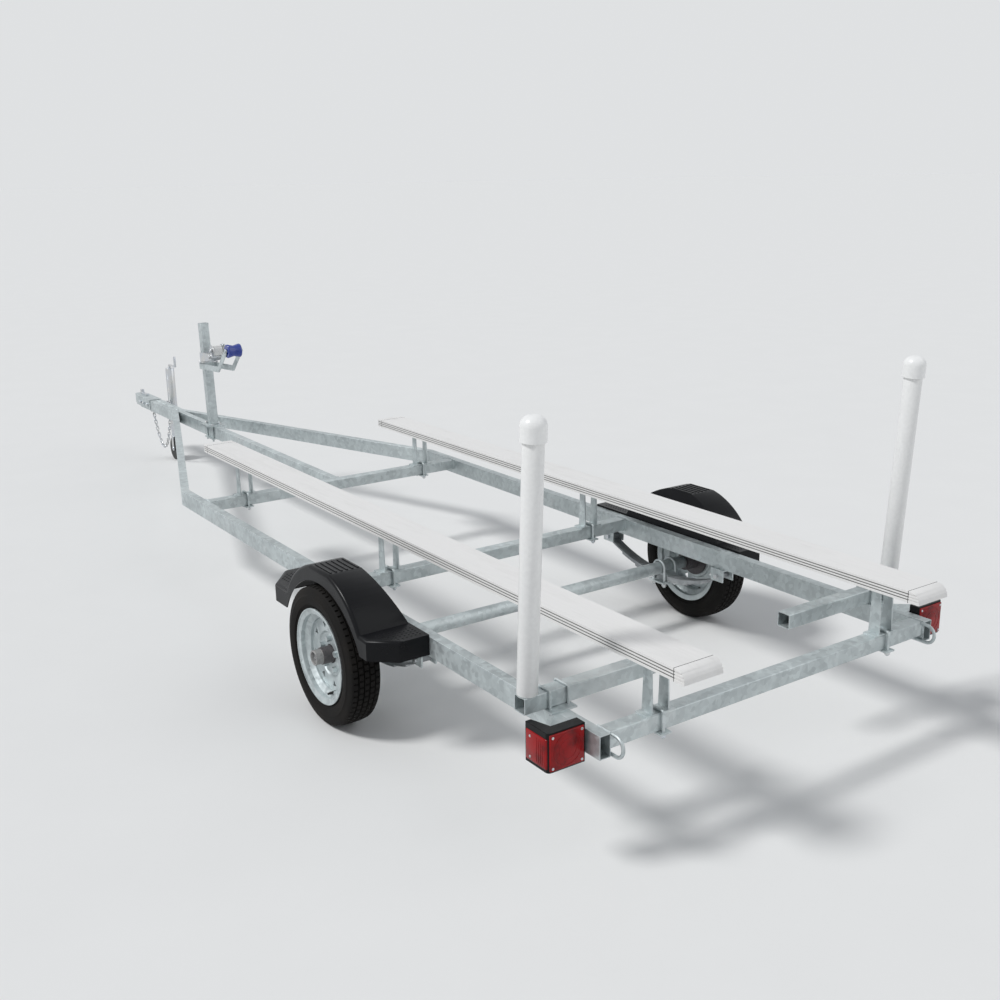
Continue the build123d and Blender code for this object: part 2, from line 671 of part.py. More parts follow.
# Fenders
def fender_body(inset):
    """Solid form of a fender, shrunk by an inset: an arch over a long step."""
    low = RAIL_TOP + FENDER_STEP - FENDER_SKIRT - inset
    step_top = RAIL_TOP + FENDER_STEP - inset
    x0, x1 = RAIL_OUT + inset, FENDER_OUT - inset
    y0, y1 = FENDER_AFT + inset, FENDER_FORE - inset
    corner = x1 - FENDER_CORNER
    plan = make_face(Polyline(
        (x0, y0), (corner, y0), (x1, y0 + FENDER_CORNER_AFT), (x1, y1 - FENDER_CORNER_FORE), (corner, y1),
        (x0, y1), close=True,
    ))
    step = Pos(0, 0, low) * extrude(plan, step_top - low)
    top_edges = step.edges().group_by(Axis.Z)[-1]
    outboard = [edge for edge in top_edges if edge.center().X > RAIL_OUT + FENDER_CORNER]
    step = fillet(outboard, FENDER_EDGE_R - inset)

    top = RAIL_TOP + FENDER_TOP - inset
    arch = rod_x(FENDER_ARCH_R - inset, x0, x1, 0, AXLE_Z)
    arch = fillet(arch.edges().sort_by(Axis.X)[-1], FENDER_EDGE_R - inset)
    panel = box(x0, x1, FENDER_AFT, FENDER_FORE, step_top - FENDER_EDGE_R, top)
    outer_edge = panel.edges().filter_by(Axis.Y).group_by(Axis.X)[-1].sort_by(Axis.Z)[-1]
    arch &= fillet(outer_edge, FENDER_EDGE_R - inset)
    flank = make_face(Polyline(
        (x0 - 1, step_top), (x0 + FLANK_FOOT, step_top), (x0 + FLANK_TOP, top), (x0 + FLANK_TOP, top + 1),
        (x0 - 1, top + 1), close=True,
    ))
    flank = Pos(0, FENDER_FORE, 0) * extrude(Plane.XZ * flank, FENDER_FORE - FENDER_AFT)
    return step + (arch - flank)


def fender():
    """Thin shell over the wheel, open below, with a round wheel opening."""
    shell = fender_body(0) - fender_body(FENDER_T)
    lip_x = FENDER_OUT - FENDER_EDGE_R - 2 * FENDER_T
    shell -= rod_x(LIP_R, lip_x, FENDER_OUT + 1, 0, AXLE_Z - LIP_DROP)
    flat_half = sqrt(FENDER_ARCH_R ** 2 - (RAIL_TOP + FENDER_TOP - AXLE_Z) ** 2)
    first = RAIL_OUT + FLANK_TOP + RIB_MARGIN
    last = FENDER_OUT - FENDER_EDGE_R - RIB_MARGIN
    for index in range(RIB_COUNT):
        x = first + (last - first) * index / (RIB_COUNT - 1)
        reach = flat_half - RIB_MARGIN
        top = RAIL_TOP + FENDER_TOP
        shell += box(x - RIB_W / 2, x + RIB_W / 2, -reach, reach, top - RIB_H / 2, top + RIB_H)
    return shell


for name, side in SIDES:
    save(f"fender_{name}", mirrored(side, fender()))

# Coupler
coupler_half = RAIL_W + COUPLER_T
coupler_top = RAIL_TOP + COUPLER_T
socket_r = BALL_R + SOCKET_GAP
nose_r = socket_r + SOCKET_WALL
neck_rear = BALL_STATION - COUPLER_NECK
coupler = box(-coupler_half, coupler_half, COUPLER_REAR, neck_rear + 50, RAIL_TOP - COUPLER_SIDE, coupler_top)
neck = make_face(Polyline(
    (-coupler_half, neck_rear), (coupler_half, neck_rear), (nose_r, BALL_STATION), (-nose_r, BALL_STATION),
    close=True,
))
coupler += Pos(0, 0, coupler_top - SOCKET_DEPTH - COUPLER_T) * extrude(neck, SOCKET_DEPTH + COUPLER_T)
coupler += rod_z(nose_r, 0, BALL_STATION, RAIL_TOP - SOCKET_DEPTH, coupler_top)
coupler -= Pos(0, BALL_STATION, RAIL_TOP - SOCKET_DROP) * Sphere(socket_r)
coupler -= rod_z(socket_r, 0, BALL_STATION, RAIL_BOTTOM, RAIL_TOP - SOCKET_DROP)
coupler -= box(-RAIL_W, RAIL_W, COUPLER_REAR - 1, TONGUE_FRONT + SEAT_GAP, RAIL_BOTTOM - 1, RAIL_TOP)
save("coupler", coupler)

latch_front = BALL_STATION - LATCH_FRONT
latch = box(-LATCH_W / 2, LATCH_W / 2, BALL_STATION - LATCH_REAR, latch_front, coupler_top, coupler_top + LATCH_T)
latch += box(-LATCH_W / 2, LATCH_W / 2, latch_front - LATCH_KNOB, latch_front, coupler_top, coupler_top + LATCH_KNOB_H)
save("coupler_latch", latch)


# Winch post group
def on_post(shape):
    """Place a piece drawn upright from the post's foot."""
    return Pos(0, WPOST_STATION, RAIL_TOP + WBASE_T) * Rot(-WPOST_RAKE, 0, 0) * shape


def plate_x(outline, x0, thickness):
    """A flat plate across X with an outline drawn in Y and Z."""
    return Pos(x0, 0, 0) * extrude(Plane.YZ * outline, thickness)


stand = on_post(extrude(tube_section(WPOST, WPOST), WPOST_H))
y0, y1 = WPOST_STATION - WBASE_L / 2, WPOST_STATION + WBASE_L / 2
stand += box(-WBASE_W / 2, WBASE_W / 2, y0, y1, RAIL_TOP, RAIL_TOP + WBASE_T)
stand -= box(-WBASE_W, WBASE_W, y0, y1, RAIL_TOP - WBASE_T, RAIL_TOP)
under = RAIL_BOTTOM - WBASE_UNDER
bolt_x = RAIL_W / 2 + WBASE_BOLT_R
for hand in (-1, 1):
    for x in (-bolt_x, bolt_x):
        y = WPOST_STATION + hand * WBASE_BOLT
        stand += rod_z(WBASE_BOLT_R, x, y, under - CLAMP_END, RAIL_TOP + WBASE_T + WBASE_BOLT_END)
strip_x, strip_y = bolt_x + CLAMP_PLATE_OVER, WBASE_BOLT + CLAMP_END
stand += box(-strip_x, strip_x, WPOST_STATION - strip_y, WPOST_STATION + strip_y, under, RAIL_BOTTOM)
save("winch_post", stand)


def flank_angle(radius, pitch_r):
    """How far an involute flank has turned at a radius."""
    base_r = pitch_r * cos(radians(PRESSURE_ANGLE))
    angle = acos(min(1, base_r / radius))
    return tan(angle) - angle


def toothed(teeth, turn):
    """Outline of a spur gear whose first tooth points at an angle."""
    pitch_r = TOOTH_MODULE * teeth / 2
    radii = pitch_r - 1.25 * TOOTH_MODULE, pitch_r - 0.25 * TOOTH_MODULE, pitch_r + 0.9 * TOOTH_MODULE
    half_pitch = pi / teeth / 2 - BACKLASH / pitch_r
    points = []
    for index in range(teeth):
        middle = radians(turn) + 2 * pi * index / teeth
        sides = [(r, half_pitch + flank_angle(pitch_r, pitch_r) - flank_angle(r, pitch_r)) for r in radii]
        points += [(r * cos(middle - half), r * sin(middle - half)) for r, half in sides]
        points += [(r * cos(middle + half), r * sin(middle + half)) for r, half in reversed(sides)]
    return make_face(Polyline(*points, close=True))


plate_in = DRUM_W / 2 + FRAME_GAP
outer_x = plate_in + PLATE_T
gear_x = outer_x + GEAR_BESIDE
side_plate = make_face(Polyline(
    (FRAME_FORE, FRAME_BOTTOM), (FRAME_FORE, FRAME_TOP), (DRUM_Y - EAR_R, FRAME_TOP),
    (PINION_Y, PINION_Z - BOSS_R), (POST_BACK, FRAME_BOTTOM + PLATE_T), (POST_BACK, FRAME_BOTTOM), close=True,
))
side_plate += Pos(DRUM_Y, WINCH_Z) * Circle(EAR_R)
side_plate += Pos(DRUM_Y, (WINCH_Z + PINION_Z) / 2) * Rectangle(2 * EAR_R, WINCH_Z - PINION_Z)
side_plate += Pos(PINION_Y, PINION_Z) * Circle(BOSS_R)
frame = box(-outer_x, outer_x, POST_BACK - PLATE_T, POST_BACK, FRAME_BOTTOM, FRAME_TOP)
for x0 in (-outer_x, plate_in):
    frame += plate_x(side_plate, x0, PLATE_T)
frame -= rod_x(SHAFT_R, -DRUM_W, DRUM_W, DRUM_Y, WINCH_Z)
frame -= rod_x(SHAFT_R, -DRUM_W, DRUM_W, PINION_Y, PINION_Z)
save("winch_frame", on_post(frame))

drum = rod_x(DRUM_CORE_R, -DRUM_W / 2, DRUM_W / 2, DRUM_Y, WINCH_Z)
for hand in (-1, 1):
    drum += rod_x(DRUM_FLANGE_R, hand * (DRUM_W / 2 - DRUM_FLANGE_T), hand * DRUM_W / 2, DRUM_Y, WINCH_Z)
drum += rod_x(SHAFT_R - RUNNING_GAP, -outer_x - SHAFT_R, gear_x + GEAR_W + GEAR_BESIDE, DRUM_Y, WINCH_Z)
drum += plate_x(Pos(DRUM_Y, WINCH_Z) * toothed(GEAR_TEETH, MESH_ANGLE), gear_x, GEAR_W)
save("winch_drum", on_post(drum))

strap = rod_x(STRAP_R, -STRAP_W / 2, STRAP_W / 2, DRUM_Y, WINCH_Z)
strap -= rod_x(DRUM_CORE_R, -STRAP_W, STRAP_W, DRUM_Y, WINCH_Z)
save("winch_strap", on_post(strap))

crank_x = outer_x + CRANK_CLEAR
grip_y = PINION_Y + CRANK_R - CRANK_W / 2
pinion_turn = MESH_ANGLE + 180 + 180 / PINION_TEETH
crank = rod_x(SHAFT_R - RUNNING_GAP, -outer_x - SHAFT_R, crank_x + CRANK_T, PINION_Y, PINION_Z)
crank += plate_x(Pos(PINION_Y, PINION_Z) * toothed(PINION_TEETH, pinion_turn), gear_x, GEAR_W)
arm = Pos((PINION_Y + grip_y) / 2, PINION_Z) * SlotCenterToCenter(grip_y - PINION_Y, CRANK_W)
crank += plate_x(arm, crank_x, CRANK_T)
grip_x = crank_x + CRANK_T + GRIP_GAP
crank += rod_x(GRIP_PIN_R, crank_x, grip_x + GRIP_L + GRIP_GAP, grip_y, PINION_Z)
save("winch_handle", on_post(crank))
grip = rod_x(GRIP_R, grip_x, grip_x + GRIP_L, grip_y, PINION_Z)
grip -= rod_x(GRIP_PIN_R, crank_x, grip_x + 2 * GRIP_L, grip_y, PINION_Z)
save("winch_grip", on_post(grip))

arm_x = ROLLER_L / 2 + ROLLER_SIDE_GAP
arm_front = POST_BACK + ROLLER_ARM_GRIP
route = FilletPolyline(
    (arm_front - ROLLER_ARM_W / 2, ROLLER_ARM_Z), (POST_BACK - ROLLER_ELBOW_BACK, ROLLER_ARM_Z), (ROLLER_Y, ROLLER_Z),
    radius=ROLLER_ELBOW_R,
)
arms = rod_x(ROLLER_PIN_R, -arm_x - 3 * PLATE_T, arm_x + 3 * PLATE_T, ROLLER_Y, ROLLER_Z)
arm_low, arm_high = ROLLER_ARM_Z - ROLLER_ARM_W / 2, ROLLER_ARM_Z + ROLLER_ARM_W / 2
for hand in (-1, 1):
    arms += plate_x(trace(route, ROLLER_ARM_W), min(hand * arm_x, hand * (arm_x + PLATE_T)), PLATE_T)
    block = box(WPOST / 2, arm_x + PLATE_T, POST_BACK + PLATE_T, arm_front, arm_low, arm_high)
    arms += mirrored(hand, block)
save("roller_bracket", on_post(arms))
half = ROLLER_L / 2
roller = spun_x([
    (-half, 0), (-half, ROLLER_R), (-half + 10, ROLLER_R), (0, ROLLER_WAIST), (half - 10, ROLLER_R),
    (half, ROLLER_R), (half, 0),
])
roller -= rod_x(ROLLER_PIN_R + RUNNING_GAP, -ROLLER_L, ROLLER_L, 0, 0)
save("bow_roller", on_post(Pos(0, ROLLER_Y, ROLLER_Z) * roller))

# Swivel jack
y0, y1 = JACK_STATION - JACK_PLATE / 2, JACK_STATION + JACK_PLATE / 2
mount = box(RAIL_W, RAIL_W + JACK_PLATE_T, y0, y1, RAIL_BOTTOM, RAIL_TOP)
boss_end = RAIL_W + JACK_STANDOFF - JACK_ROOT
mount += rod_x(JACK_BOSS_R, RAIL_W, boss_end, JACK_STATION, JACK_PIVOT_Z)
save("jack_mount", mount)

bore_r = JACK_R - JACK_TUBE_T
half = JACK_LUG / 2
jack = rod_z(JACK_R, JACK_X, JACK_STATION, JACK_BOTTOM, JACK_TOP)
lug_x0, lug_x1 = boss_end + JACK_SEAT_GAP, JACK_X - JACK_R + JACK_ROOT
jack += box(lug_x0, lug_x1, JACK_STATION - half, JACK_STATION + half, JACK_PIVOT_Z - half, JACK_PIVOT_Z + half)
jack -= rod_z(bore_r, JACK_X, JACK_STATION, JACK_BOTTOM - 1, JACK_TOP - JACK_CAP_T)
save("jack_tube", jack)

crank_z = JACK_TOP + JACK_CRANK_RISE
handle = rod_z(JACK_CRANK_ROD, JACK_X, JACK_STATION, JACK_TOP, crank_z + JACK_CRANK_T)
arm = SlotCenterToCenter(JACK_CRANK_R, 2 * JACK_CRANK_ROD)
handle += Pos(JACK_X, JACK_STATION - JACK_CRANK_R / 2, crank_z) * Rot(0, 0, 90) * extrude(arm, JACK_CRANK_T)
handle += rod_z(JACK_CRANK_ROD, JACK_X, JACK_STATION - JACK_CRANK_R, crank_z, crank_z + JACK_KNOB)
save("jack_crank", handle)

leg_r = bore_r - JACK_SLIDE_GAP
yoke_z = 2 * JACK_WHEEL_R + JACK_WHEEL_CLEAR
leg = rod_z(leg_r, JACK_X, JACK_STATION, yoke_z, RAIL_TOP + JACK_LEG_RISE)
leg -= rod_z(leg_r - JACK_TUBE_T, JACK_X, JACK_STATION, yoke_z + JACK_YOKE_T, JACK_TOP)
half = JACK_WHEEL_W / 2 + JACK_YOKE_GAP
outer = half + JACK_YOKE_T
y0, y1 = JACK_STATION - JACK_YOKE_HALF, JACK_STATION + JACK_YOKE_HALF
leg += box(JACK_X - outer, JACK_X + outer, y0 - JACK_YOKE_T, y1 + JACK_YOKE_T, yoke_z - JACK_YOKE_T, yoke_z)
cheek = Pos(JACK_STATION, JACK_WHEEL_R) * Circle(JACK_YOKE_HALF)
cheek += Pos(JACK_STATION, (JACK_WHEEL_R + yoke_z) / 2) * Rectangle(2 * JACK_YOKE_HALF, yoke_z - JACK_WHEEL_R)
for x0 in (JACK_X - outer, JACK_X + half):
    leg += plate_x(cheek, x0, JACK_YOKE_T)
leg += rod_x(JACK_AXLE_R, JACK_X - outer - JACK_AXLE_R, JACK_X + outer + JACK_AXLE_R, JACK_STATION, JACK_WHEEL_R)
save("jack_leg", leg)

half = JACK_WHEEL_W / 2
wheel = rod_x(JACK_WHEEL_R, JACK_X - half, JACK_X + half, JACK_STATION, JACK_WHEEL_R)
wheel -= rod_x(JACK_AXLE_R + RUNNING_GAP, JACK_X - outer, JACK_X + outer, JACK_STATION, JACK_WHEEL_R)
save("jack_wheel", wheel)


# Tail lights
def light_housing(top):
    """Moulded body: deep along its outboard side, shallow near the rail."""
    rear, front = LIGHT_REAR + LENS_PROUD, LIGHT_REAR + LIGHT_D
    side_front = LIGHT_REAR + LIGHT_SIDE_L
    plan = make_face(Polyline(
        (LIGHT_IN, rear), (LIGHT_OUT, rear), (LIGHT_OUT, side_front), (LIGHT_OUT - LIGHT_SIDE_T, side_front),
        (LIGHT_OUT - 2 * LIGHT_SIDE_T, front), (LIGHT_IN, front), close=True,
    ))
    body = Pos(0, 0, top - LIGHT_H) * extrude(plan, LIGHT_H)
    corner = body.edges().filter_by(Axis.Z).sort_by(Axis.X)[-2:].sort_by(Axis.Y)[0]
    return fillet(corner, LIGHT_EDGE_R)


def rear_lens():
    """The red lens that faces aft."""
    x0, z1 = LIGHT_IN + LENS_MARGIN, LIGHT_TOP - LENS_MARGIN
    return box(x0, x0 + LENS_W, LIGHT_REAR, LIGHT_REAR + LENS_T, z1 - LENS_H, z1)


def side_lens():
    """The red lens that faces outboard."""
    y1, z1 = LIGHT_REAR + LIGHT_SIDE_L - LENS_MARGIN, LIGHT_TOP - 4 * LENS_MARGIN
    x1 = LIGHT_OUT + LENS_PROUD
    return box(x1 - LENS_T, x1, y1 - SIDE_LENS_L + LIGHT_EDGE_R, y1, z1 - SIDE_LENS_H, z1)


def gusset():
    """Flat triangular bracket from the rail's outer face to the light."""
    front = LIGHT_REAR + LIGHT_D
    outline = make_face(Polyline(
        (RAIL_OUT, front), (RAIL_OUT + GUSSET_W, front), (RAIL_OUT + GUSSET_W, front + GUSSET_NOSE),
        (RAIL_OUT, front + GUSSET_L), close=True,
    ))
    return Pos(0, 0, RAIL_TOP - GUSSET_T) * extrude(outline, GUSSET_T)


housing = light_housing(LIGHT_TOP) - rear_lens() - side_lens()
hands = [side for name, side in SIDES]
save("tail_light_housings", *[mirrored(side, housing) for side in hands])
save("tail_light_lenses", *[mirrored(side, lens) for side in hands for lens in (rear_lens(), side_lens())])
save("light_brackets", *[mirrored(side, gusset()) for side in hands])

# Tie-down loops: bent bars on the inner faces of the rails, bulging aft of them
loops = []
loop_y = RAIL_REAR - LOOP_OUT
loop_z = RAIL_TOP - RAIL_H / 2
for name, side in SIDES:
    x = side * LOOP_X
    loop = Pos(x, loop_y, loop_z) * Rot(0, 90, 0) * Torus(LOOP_R, LOOP_ROD / 2)
    loop -= box(-FRAME_W, FRAME_W, loop_y, loop_y + RAIL_H, 0, BUNK_TOP)
    loop += rod_y(LOOP_ROD / 2, x, loop_y, CROSS_STATIONS["rear"] - CROSS / 2, loop_z + LOOP_R)
    loop += rod_y(LOOP_ROD / 2, x, loop_y, RAIL_REAR + LOOP_LEG, loop_z - LOOP_R)
    loops.append(loop)
save("tie_down_loops", *loops)


# Safety chain: links hang in a parabola between two staples under the tongue
chain_span = CHAIN_FRONT - CHAIN_REAR
link_reach = (CHAIN_INNER_L - CHAIN_INNER_W) / 2
pitch = CHAIN_INNER_L - CHAIN_GAP
chain_length = (CHAIN_LINKS - 1) * pitch + 2 * link_reach
hook_z = RAIL_TOP - RAIL_H - STAPLE_DROP


def hang_length(dip):
    """Length of a parabola across the chain's span."""
    chord = sqrt(chain_span ** 2 + 16 * dip ** 2)
    return chord / 2 + chain_span ** 2 / (8 * dip) * log((4 * dip + chord) / chain_span)


def chain_dip():
    """How far the chain hangs, from its length."""
    low, high = 1.0, chain_length
    while high - low > 0.001:
        dip = (low + high) / 2
        low, high = (dip, high) if hang_length(dip) < chain_length else (low, dip)
    return low


def chain_link():
    """One flat-sided link, long axis along X, lying in the XY plane."""
    hole = SlotCenterToCenter(2 * link_reach, CHAIN_INNER_W)
    outer = SlotCenterToCenter(2 * link_reach, CHAIN_INNER_W + 2 * CHAIN_WIRE)
    return Pos(0, 0, -CHAIN_WIRE / 2) * extrude(outer - hole, CHAIN_WIRE)


dip = chain_dip()
links = []
steps = 4000
shares = [index / steps for index in range(steps + 1)]
route = [(CHAIN_REAR + chain_span * s, hook_z - 4 * dip * s * (1 - s)) for s in shares]
travelled, due = 0.0, link_reach
for (ya, za), (yb, zb) in zip(route, route[1:]):
    travelled += hypot(yb - ya, zb - za)
    if travelled >= due and len(links) < CHAIN_LINKS:
        roll = 0 if len(links) % 2 else 90
        angle = degrees(atan2(zb - za, yb - ya))
        turn = Rot(0, 0, 90) * Rot(0, -angle, 0) * Rot(roll, 0, 0)
        links.append(Pos(0, yb, zb) * turn * chain_link())
        due += pitch
save("safety_chain", *links)

staples = []
for station in (CHAIN_REAR, CHAIN_FRONT):
    staple = rod_x(STAPLE_R, -STAPLE_HALF, STAPLE_HALF, station, hook_z)
    for hand in (-1, 1):
        staple += rod_z(STAPLE_R, hand * STAPLE_HALF, station, hook_z, RAIL_TOP - RAIL_H)
        staple += Pos(hand * STAPLE_HALF, station, hook_z) * Sphere(STAPLE_R)
    staples.append(staple)
save("chain_staples", *staples)
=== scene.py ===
"""Looks of a galvanised boat trailer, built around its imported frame.

Everything is in metres, in the frame's own axes: X to starboard, Y forward to
the coupler, Z up, with the floor at Z = 0. Each sub-assembly is a class that
makes its own small pieces and gives its nodes their finishes.
"""
from __future__ import annotations

import json
import logging
import math
from dataclasses import dataclass
from enum import Enum
from typing import Any, Callable, Iterable, Sequence

import bpy
from mathutils import Matrix, Vector

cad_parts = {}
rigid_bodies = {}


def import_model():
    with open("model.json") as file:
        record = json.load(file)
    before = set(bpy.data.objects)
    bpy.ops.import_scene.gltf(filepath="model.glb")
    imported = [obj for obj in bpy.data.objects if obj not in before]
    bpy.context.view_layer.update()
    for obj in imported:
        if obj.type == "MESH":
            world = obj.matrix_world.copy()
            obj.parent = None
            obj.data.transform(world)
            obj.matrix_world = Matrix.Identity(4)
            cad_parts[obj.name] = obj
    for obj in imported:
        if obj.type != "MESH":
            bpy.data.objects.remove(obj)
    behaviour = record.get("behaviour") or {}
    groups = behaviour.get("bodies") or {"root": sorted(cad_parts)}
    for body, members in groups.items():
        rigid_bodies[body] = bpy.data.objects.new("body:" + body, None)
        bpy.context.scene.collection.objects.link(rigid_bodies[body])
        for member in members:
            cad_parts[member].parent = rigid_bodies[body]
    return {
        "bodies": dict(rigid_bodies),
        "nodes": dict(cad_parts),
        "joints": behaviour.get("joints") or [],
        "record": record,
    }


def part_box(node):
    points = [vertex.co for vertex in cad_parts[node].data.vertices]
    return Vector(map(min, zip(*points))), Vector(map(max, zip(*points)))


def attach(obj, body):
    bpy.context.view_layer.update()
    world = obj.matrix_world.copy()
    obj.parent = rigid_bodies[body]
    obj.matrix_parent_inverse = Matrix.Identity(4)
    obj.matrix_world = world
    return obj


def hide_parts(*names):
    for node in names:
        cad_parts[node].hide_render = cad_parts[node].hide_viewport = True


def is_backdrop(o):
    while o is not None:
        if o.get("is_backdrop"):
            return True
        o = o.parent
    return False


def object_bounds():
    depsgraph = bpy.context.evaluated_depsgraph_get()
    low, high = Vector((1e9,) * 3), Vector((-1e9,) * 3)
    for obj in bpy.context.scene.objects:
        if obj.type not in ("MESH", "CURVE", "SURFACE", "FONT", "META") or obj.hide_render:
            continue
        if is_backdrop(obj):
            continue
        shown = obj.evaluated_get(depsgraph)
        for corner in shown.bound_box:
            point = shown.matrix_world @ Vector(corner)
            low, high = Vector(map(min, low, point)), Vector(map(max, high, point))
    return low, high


LOG = logging.getLogger("trailer")
TRAILER = "trailer"
STATIONS = ("rear", "middle", "front")
MERGE_GAP = 0.00002

Colour = tuple[float, float, float]
Point = tuple[float, float, float]
Place = tuple[Sequence[float], Vector]


class Direction(Enum):
    """Ways that a bolt or a shaft may point."""

    STARBOARD = (1.0, 0.0, 0.0)
    PORT = (-1.0, 0.0, 0.0)
    AFT = (0.0, -1.0, 0.0)
    UP = (0.0, 0.0, 1.0)
    DOWN = (0.0, 0.0, -1.0)

    @property
    def vector(self) -> Vector:
        """The direction as a vector."""
        return Vector(self.value)


class Side(Enum):
    """The two sides of the trailer, with the sign of X on each."""

    LEFT = -1
    RIGHT = 1

    @property
    def label(self) -> str:
        """The side's name as the frame's nodes spell it."""
        return self.name.lower()

    @property
    def outward(self) -> Direction:
        """The direction away from the trailer's middle."""
        return Direction.PORT if self is Side.LEFT else Direction.STARBOARD

    def outer(self, low: Vector, high: Vector) -> float:
        """X of a box's outer face on this side."""
        return high.x if self is Side.RIGHT else low.x


@dataclass(frozen=True)
class Wire:
    """A shader socket that takes part in Python expressions."""

    net: "Net"
    socket: bpy.types.NodeSocket

    def _math(self, operation: str, left: Any, right: Any) -> "Wire":
        """Add a Math node for two values."""
        return self.net.add("ShaderNodeMath", {"operation": operation}, {0: left, 1: right})

    def __add__(self, other: Any) -> "Wire":
        """Sum."""
        return self._math("ADD", self, other)

    def __radd__(self, other: Any) -> "Wire":
        """Sum, with the value on the left."""
        return self._math("ADD", other, self)

    def __sub__(self, other: Any) -> "Wire":
        """Difference."""
        return self._math("SUBTRACT", self, other)

    def __rsub__(self, other: Any) -> "Wire":
        """Difference, with the value on the left."""
        return self._math("SUBTRACT", other, self)

    def __mul__(self, other: Any) -> "Wire":
        """Product."""
        return self._math("MULTIPLY", self, other)

    def __rmul__(self, other: Any) -> "Wire":
        """Product, with the value on the left."""
        return self._math("MULTIPLY", other, self)

    def __gt__(self, other: Any) -> "Wire":
        """1 where this is more than the other."""
        return self._math("GREATER_THAN", self, other)

    def __lt__(self, other: Any) -> "Wire":
        """1 where this is less than the other."""
        return self._math("LESS_THAN", self, other)

    def __abs__(self) -> "Wire":
        """Absolute value."""
        return self._math("ABSOLUTE", self, 0.0)


class Net:
    """The nodes of one material or of the world, added by one method."""

    def __init__(self, name: str, world: bpy.types.World | None = None) -> None:
        """Start a material with no nodes, or empty the world's.

        Args:
            name: The new material's name.
            world: The world to work on instead of a new material.
        """
        self.owner = world or bpy.data.materials.new(name)
        self.owner.use_nodes = True
        self.nodes = self.owner.node_tree.nodes
        self.links = self.owner.node_tree.links
        self.nodes.clear()

    def add(self, kind: str, settings: dict[str, Any] | None = None, inputs: dict[Any, Any] | None = None,
            out: int | str = 0) -> Wire:
        """Add a node.

        Args:
            kind: The node's type.
            settings: Its own settings, which are set first.
            inputs: Values or wires by socket name or number.
            out: The output socket to hand back.

        Returns:
            The output as a wire.
        """
        node = self.nodes.new(kind)
        for key, value in (settings or {}).items():
            setattr(node, key, value)
        for key, value in (inputs or {}).items():
            if isinstance(value, Wire):
                self.links.new(value.socket, node.inputs[key])
            else:
                node.inputs[key].default_value = value
        return Wire(self, node.outputs[out])

    def object_point(self) -> Wire:
        """Object coordinates, in metres."""
        return self.add("ShaderNodeTexCoord", out="Object")

    def axis(self, name: str) -> Wire:
        """One of the object coordinates, in metres."""
        return self.add("ShaderNodeSeparateXYZ", {}, {0: self.object_point()}, name)

    def stretched(self, scale: Point) -> Wire:
        """Object coordinates multiplied along each axis."""
        return self.add("ShaderNodeMapping", {}, {"Vector": self.object_point(), "Scale": scale})

    def noise(self, scale: float, detail: float = 2.0, rough: float = 0.5, vector: Wire | None = None) -> Wire:
        """Noise from 0 to 1.

        Args:
            scale: Cycles per metre.
            detail: How many finer layers are added.
            rough: How strong the finer layers are.
            vector: Where to read it, if not the plain object coordinates.

        Returns:
            The noise's grey value.
        """
        point = vector or self.object_point()
        inputs = {"Vector": point, "Scale": scale, "Detail": detail, "Roughness": rough}
        return self.add("ShaderNodeTexNoise", {}, inputs)

    def cells(self, scale: float, vector: Wire) -> Wire:
        """Give each crystal-like cell a random grey value, from 0 to 1."""
        colour = self.add("ShaderNodeTexVoronoi", {}, {"Vector": vector, "Scale": scale}, "Color")
        return self.add("ShaderNodeSeparateColor", {}, {0: colour}, 0)

    def blend(self, factor: Any, low: Any, high: Any) -> Wire:
        """Mix two colours.

        Args:
            factor: 0 for the first colour and 1 for the second.
            low: The first colour, as numbers or a wire.
            high: The second colour, as numbers or a wire.

        Returns:
            The mixed colour.
        """
        low = (*low, 1.0) if isinstance(low, tuple) else low
        high = (*high, 1.0) if isinstance(high, tuple) else high
        return self.add("ShaderNodeMix", {"data_type": "RGBA"}, {0: factor, 6: low, 7: high}, 2)

    def clamp(self, value: Wire, low: float, high: float, new_low: float = 0.0, new_high: float = 1.0) -> Wire:
        """Map the span from low to high to the new one, and stop at its ends."""
        spans = {"Value": value, "From Min": low, "From Max": high, "To Min": new_low, "To Max": new_high}
        return self.add("ShaderNodeMapRange", {"clamp": True}, spans)

    def bump(self, height: Wire, strength: float, distance: float) -> Wire:
        """Turn a height into a normal, where a height of 1 means the distance in metres."""
        inputs = {"Height": height, "Strength": strength, "Distance": distance}
        return self.add("ShaderNodeBump", {}, inputs, "Normal")

    def close(self, sockets: dict[str, Any]) -> bpy.types.Material:
        """End in a Principled surface with these sockets, and give the finished material."""
        self.show(self.add("ShaderNodeBsdfPrincipled", {}, sockets), "ShaderNodeOutputMaterial")
        return self.owner

    def show(self, shader: Wire, output: str) -> None:
        """Link a shader to the surface of a new output node."""
        node = self.nodes.new(output)
        self.links.new(shader.socket, node.inputs["Surface"])


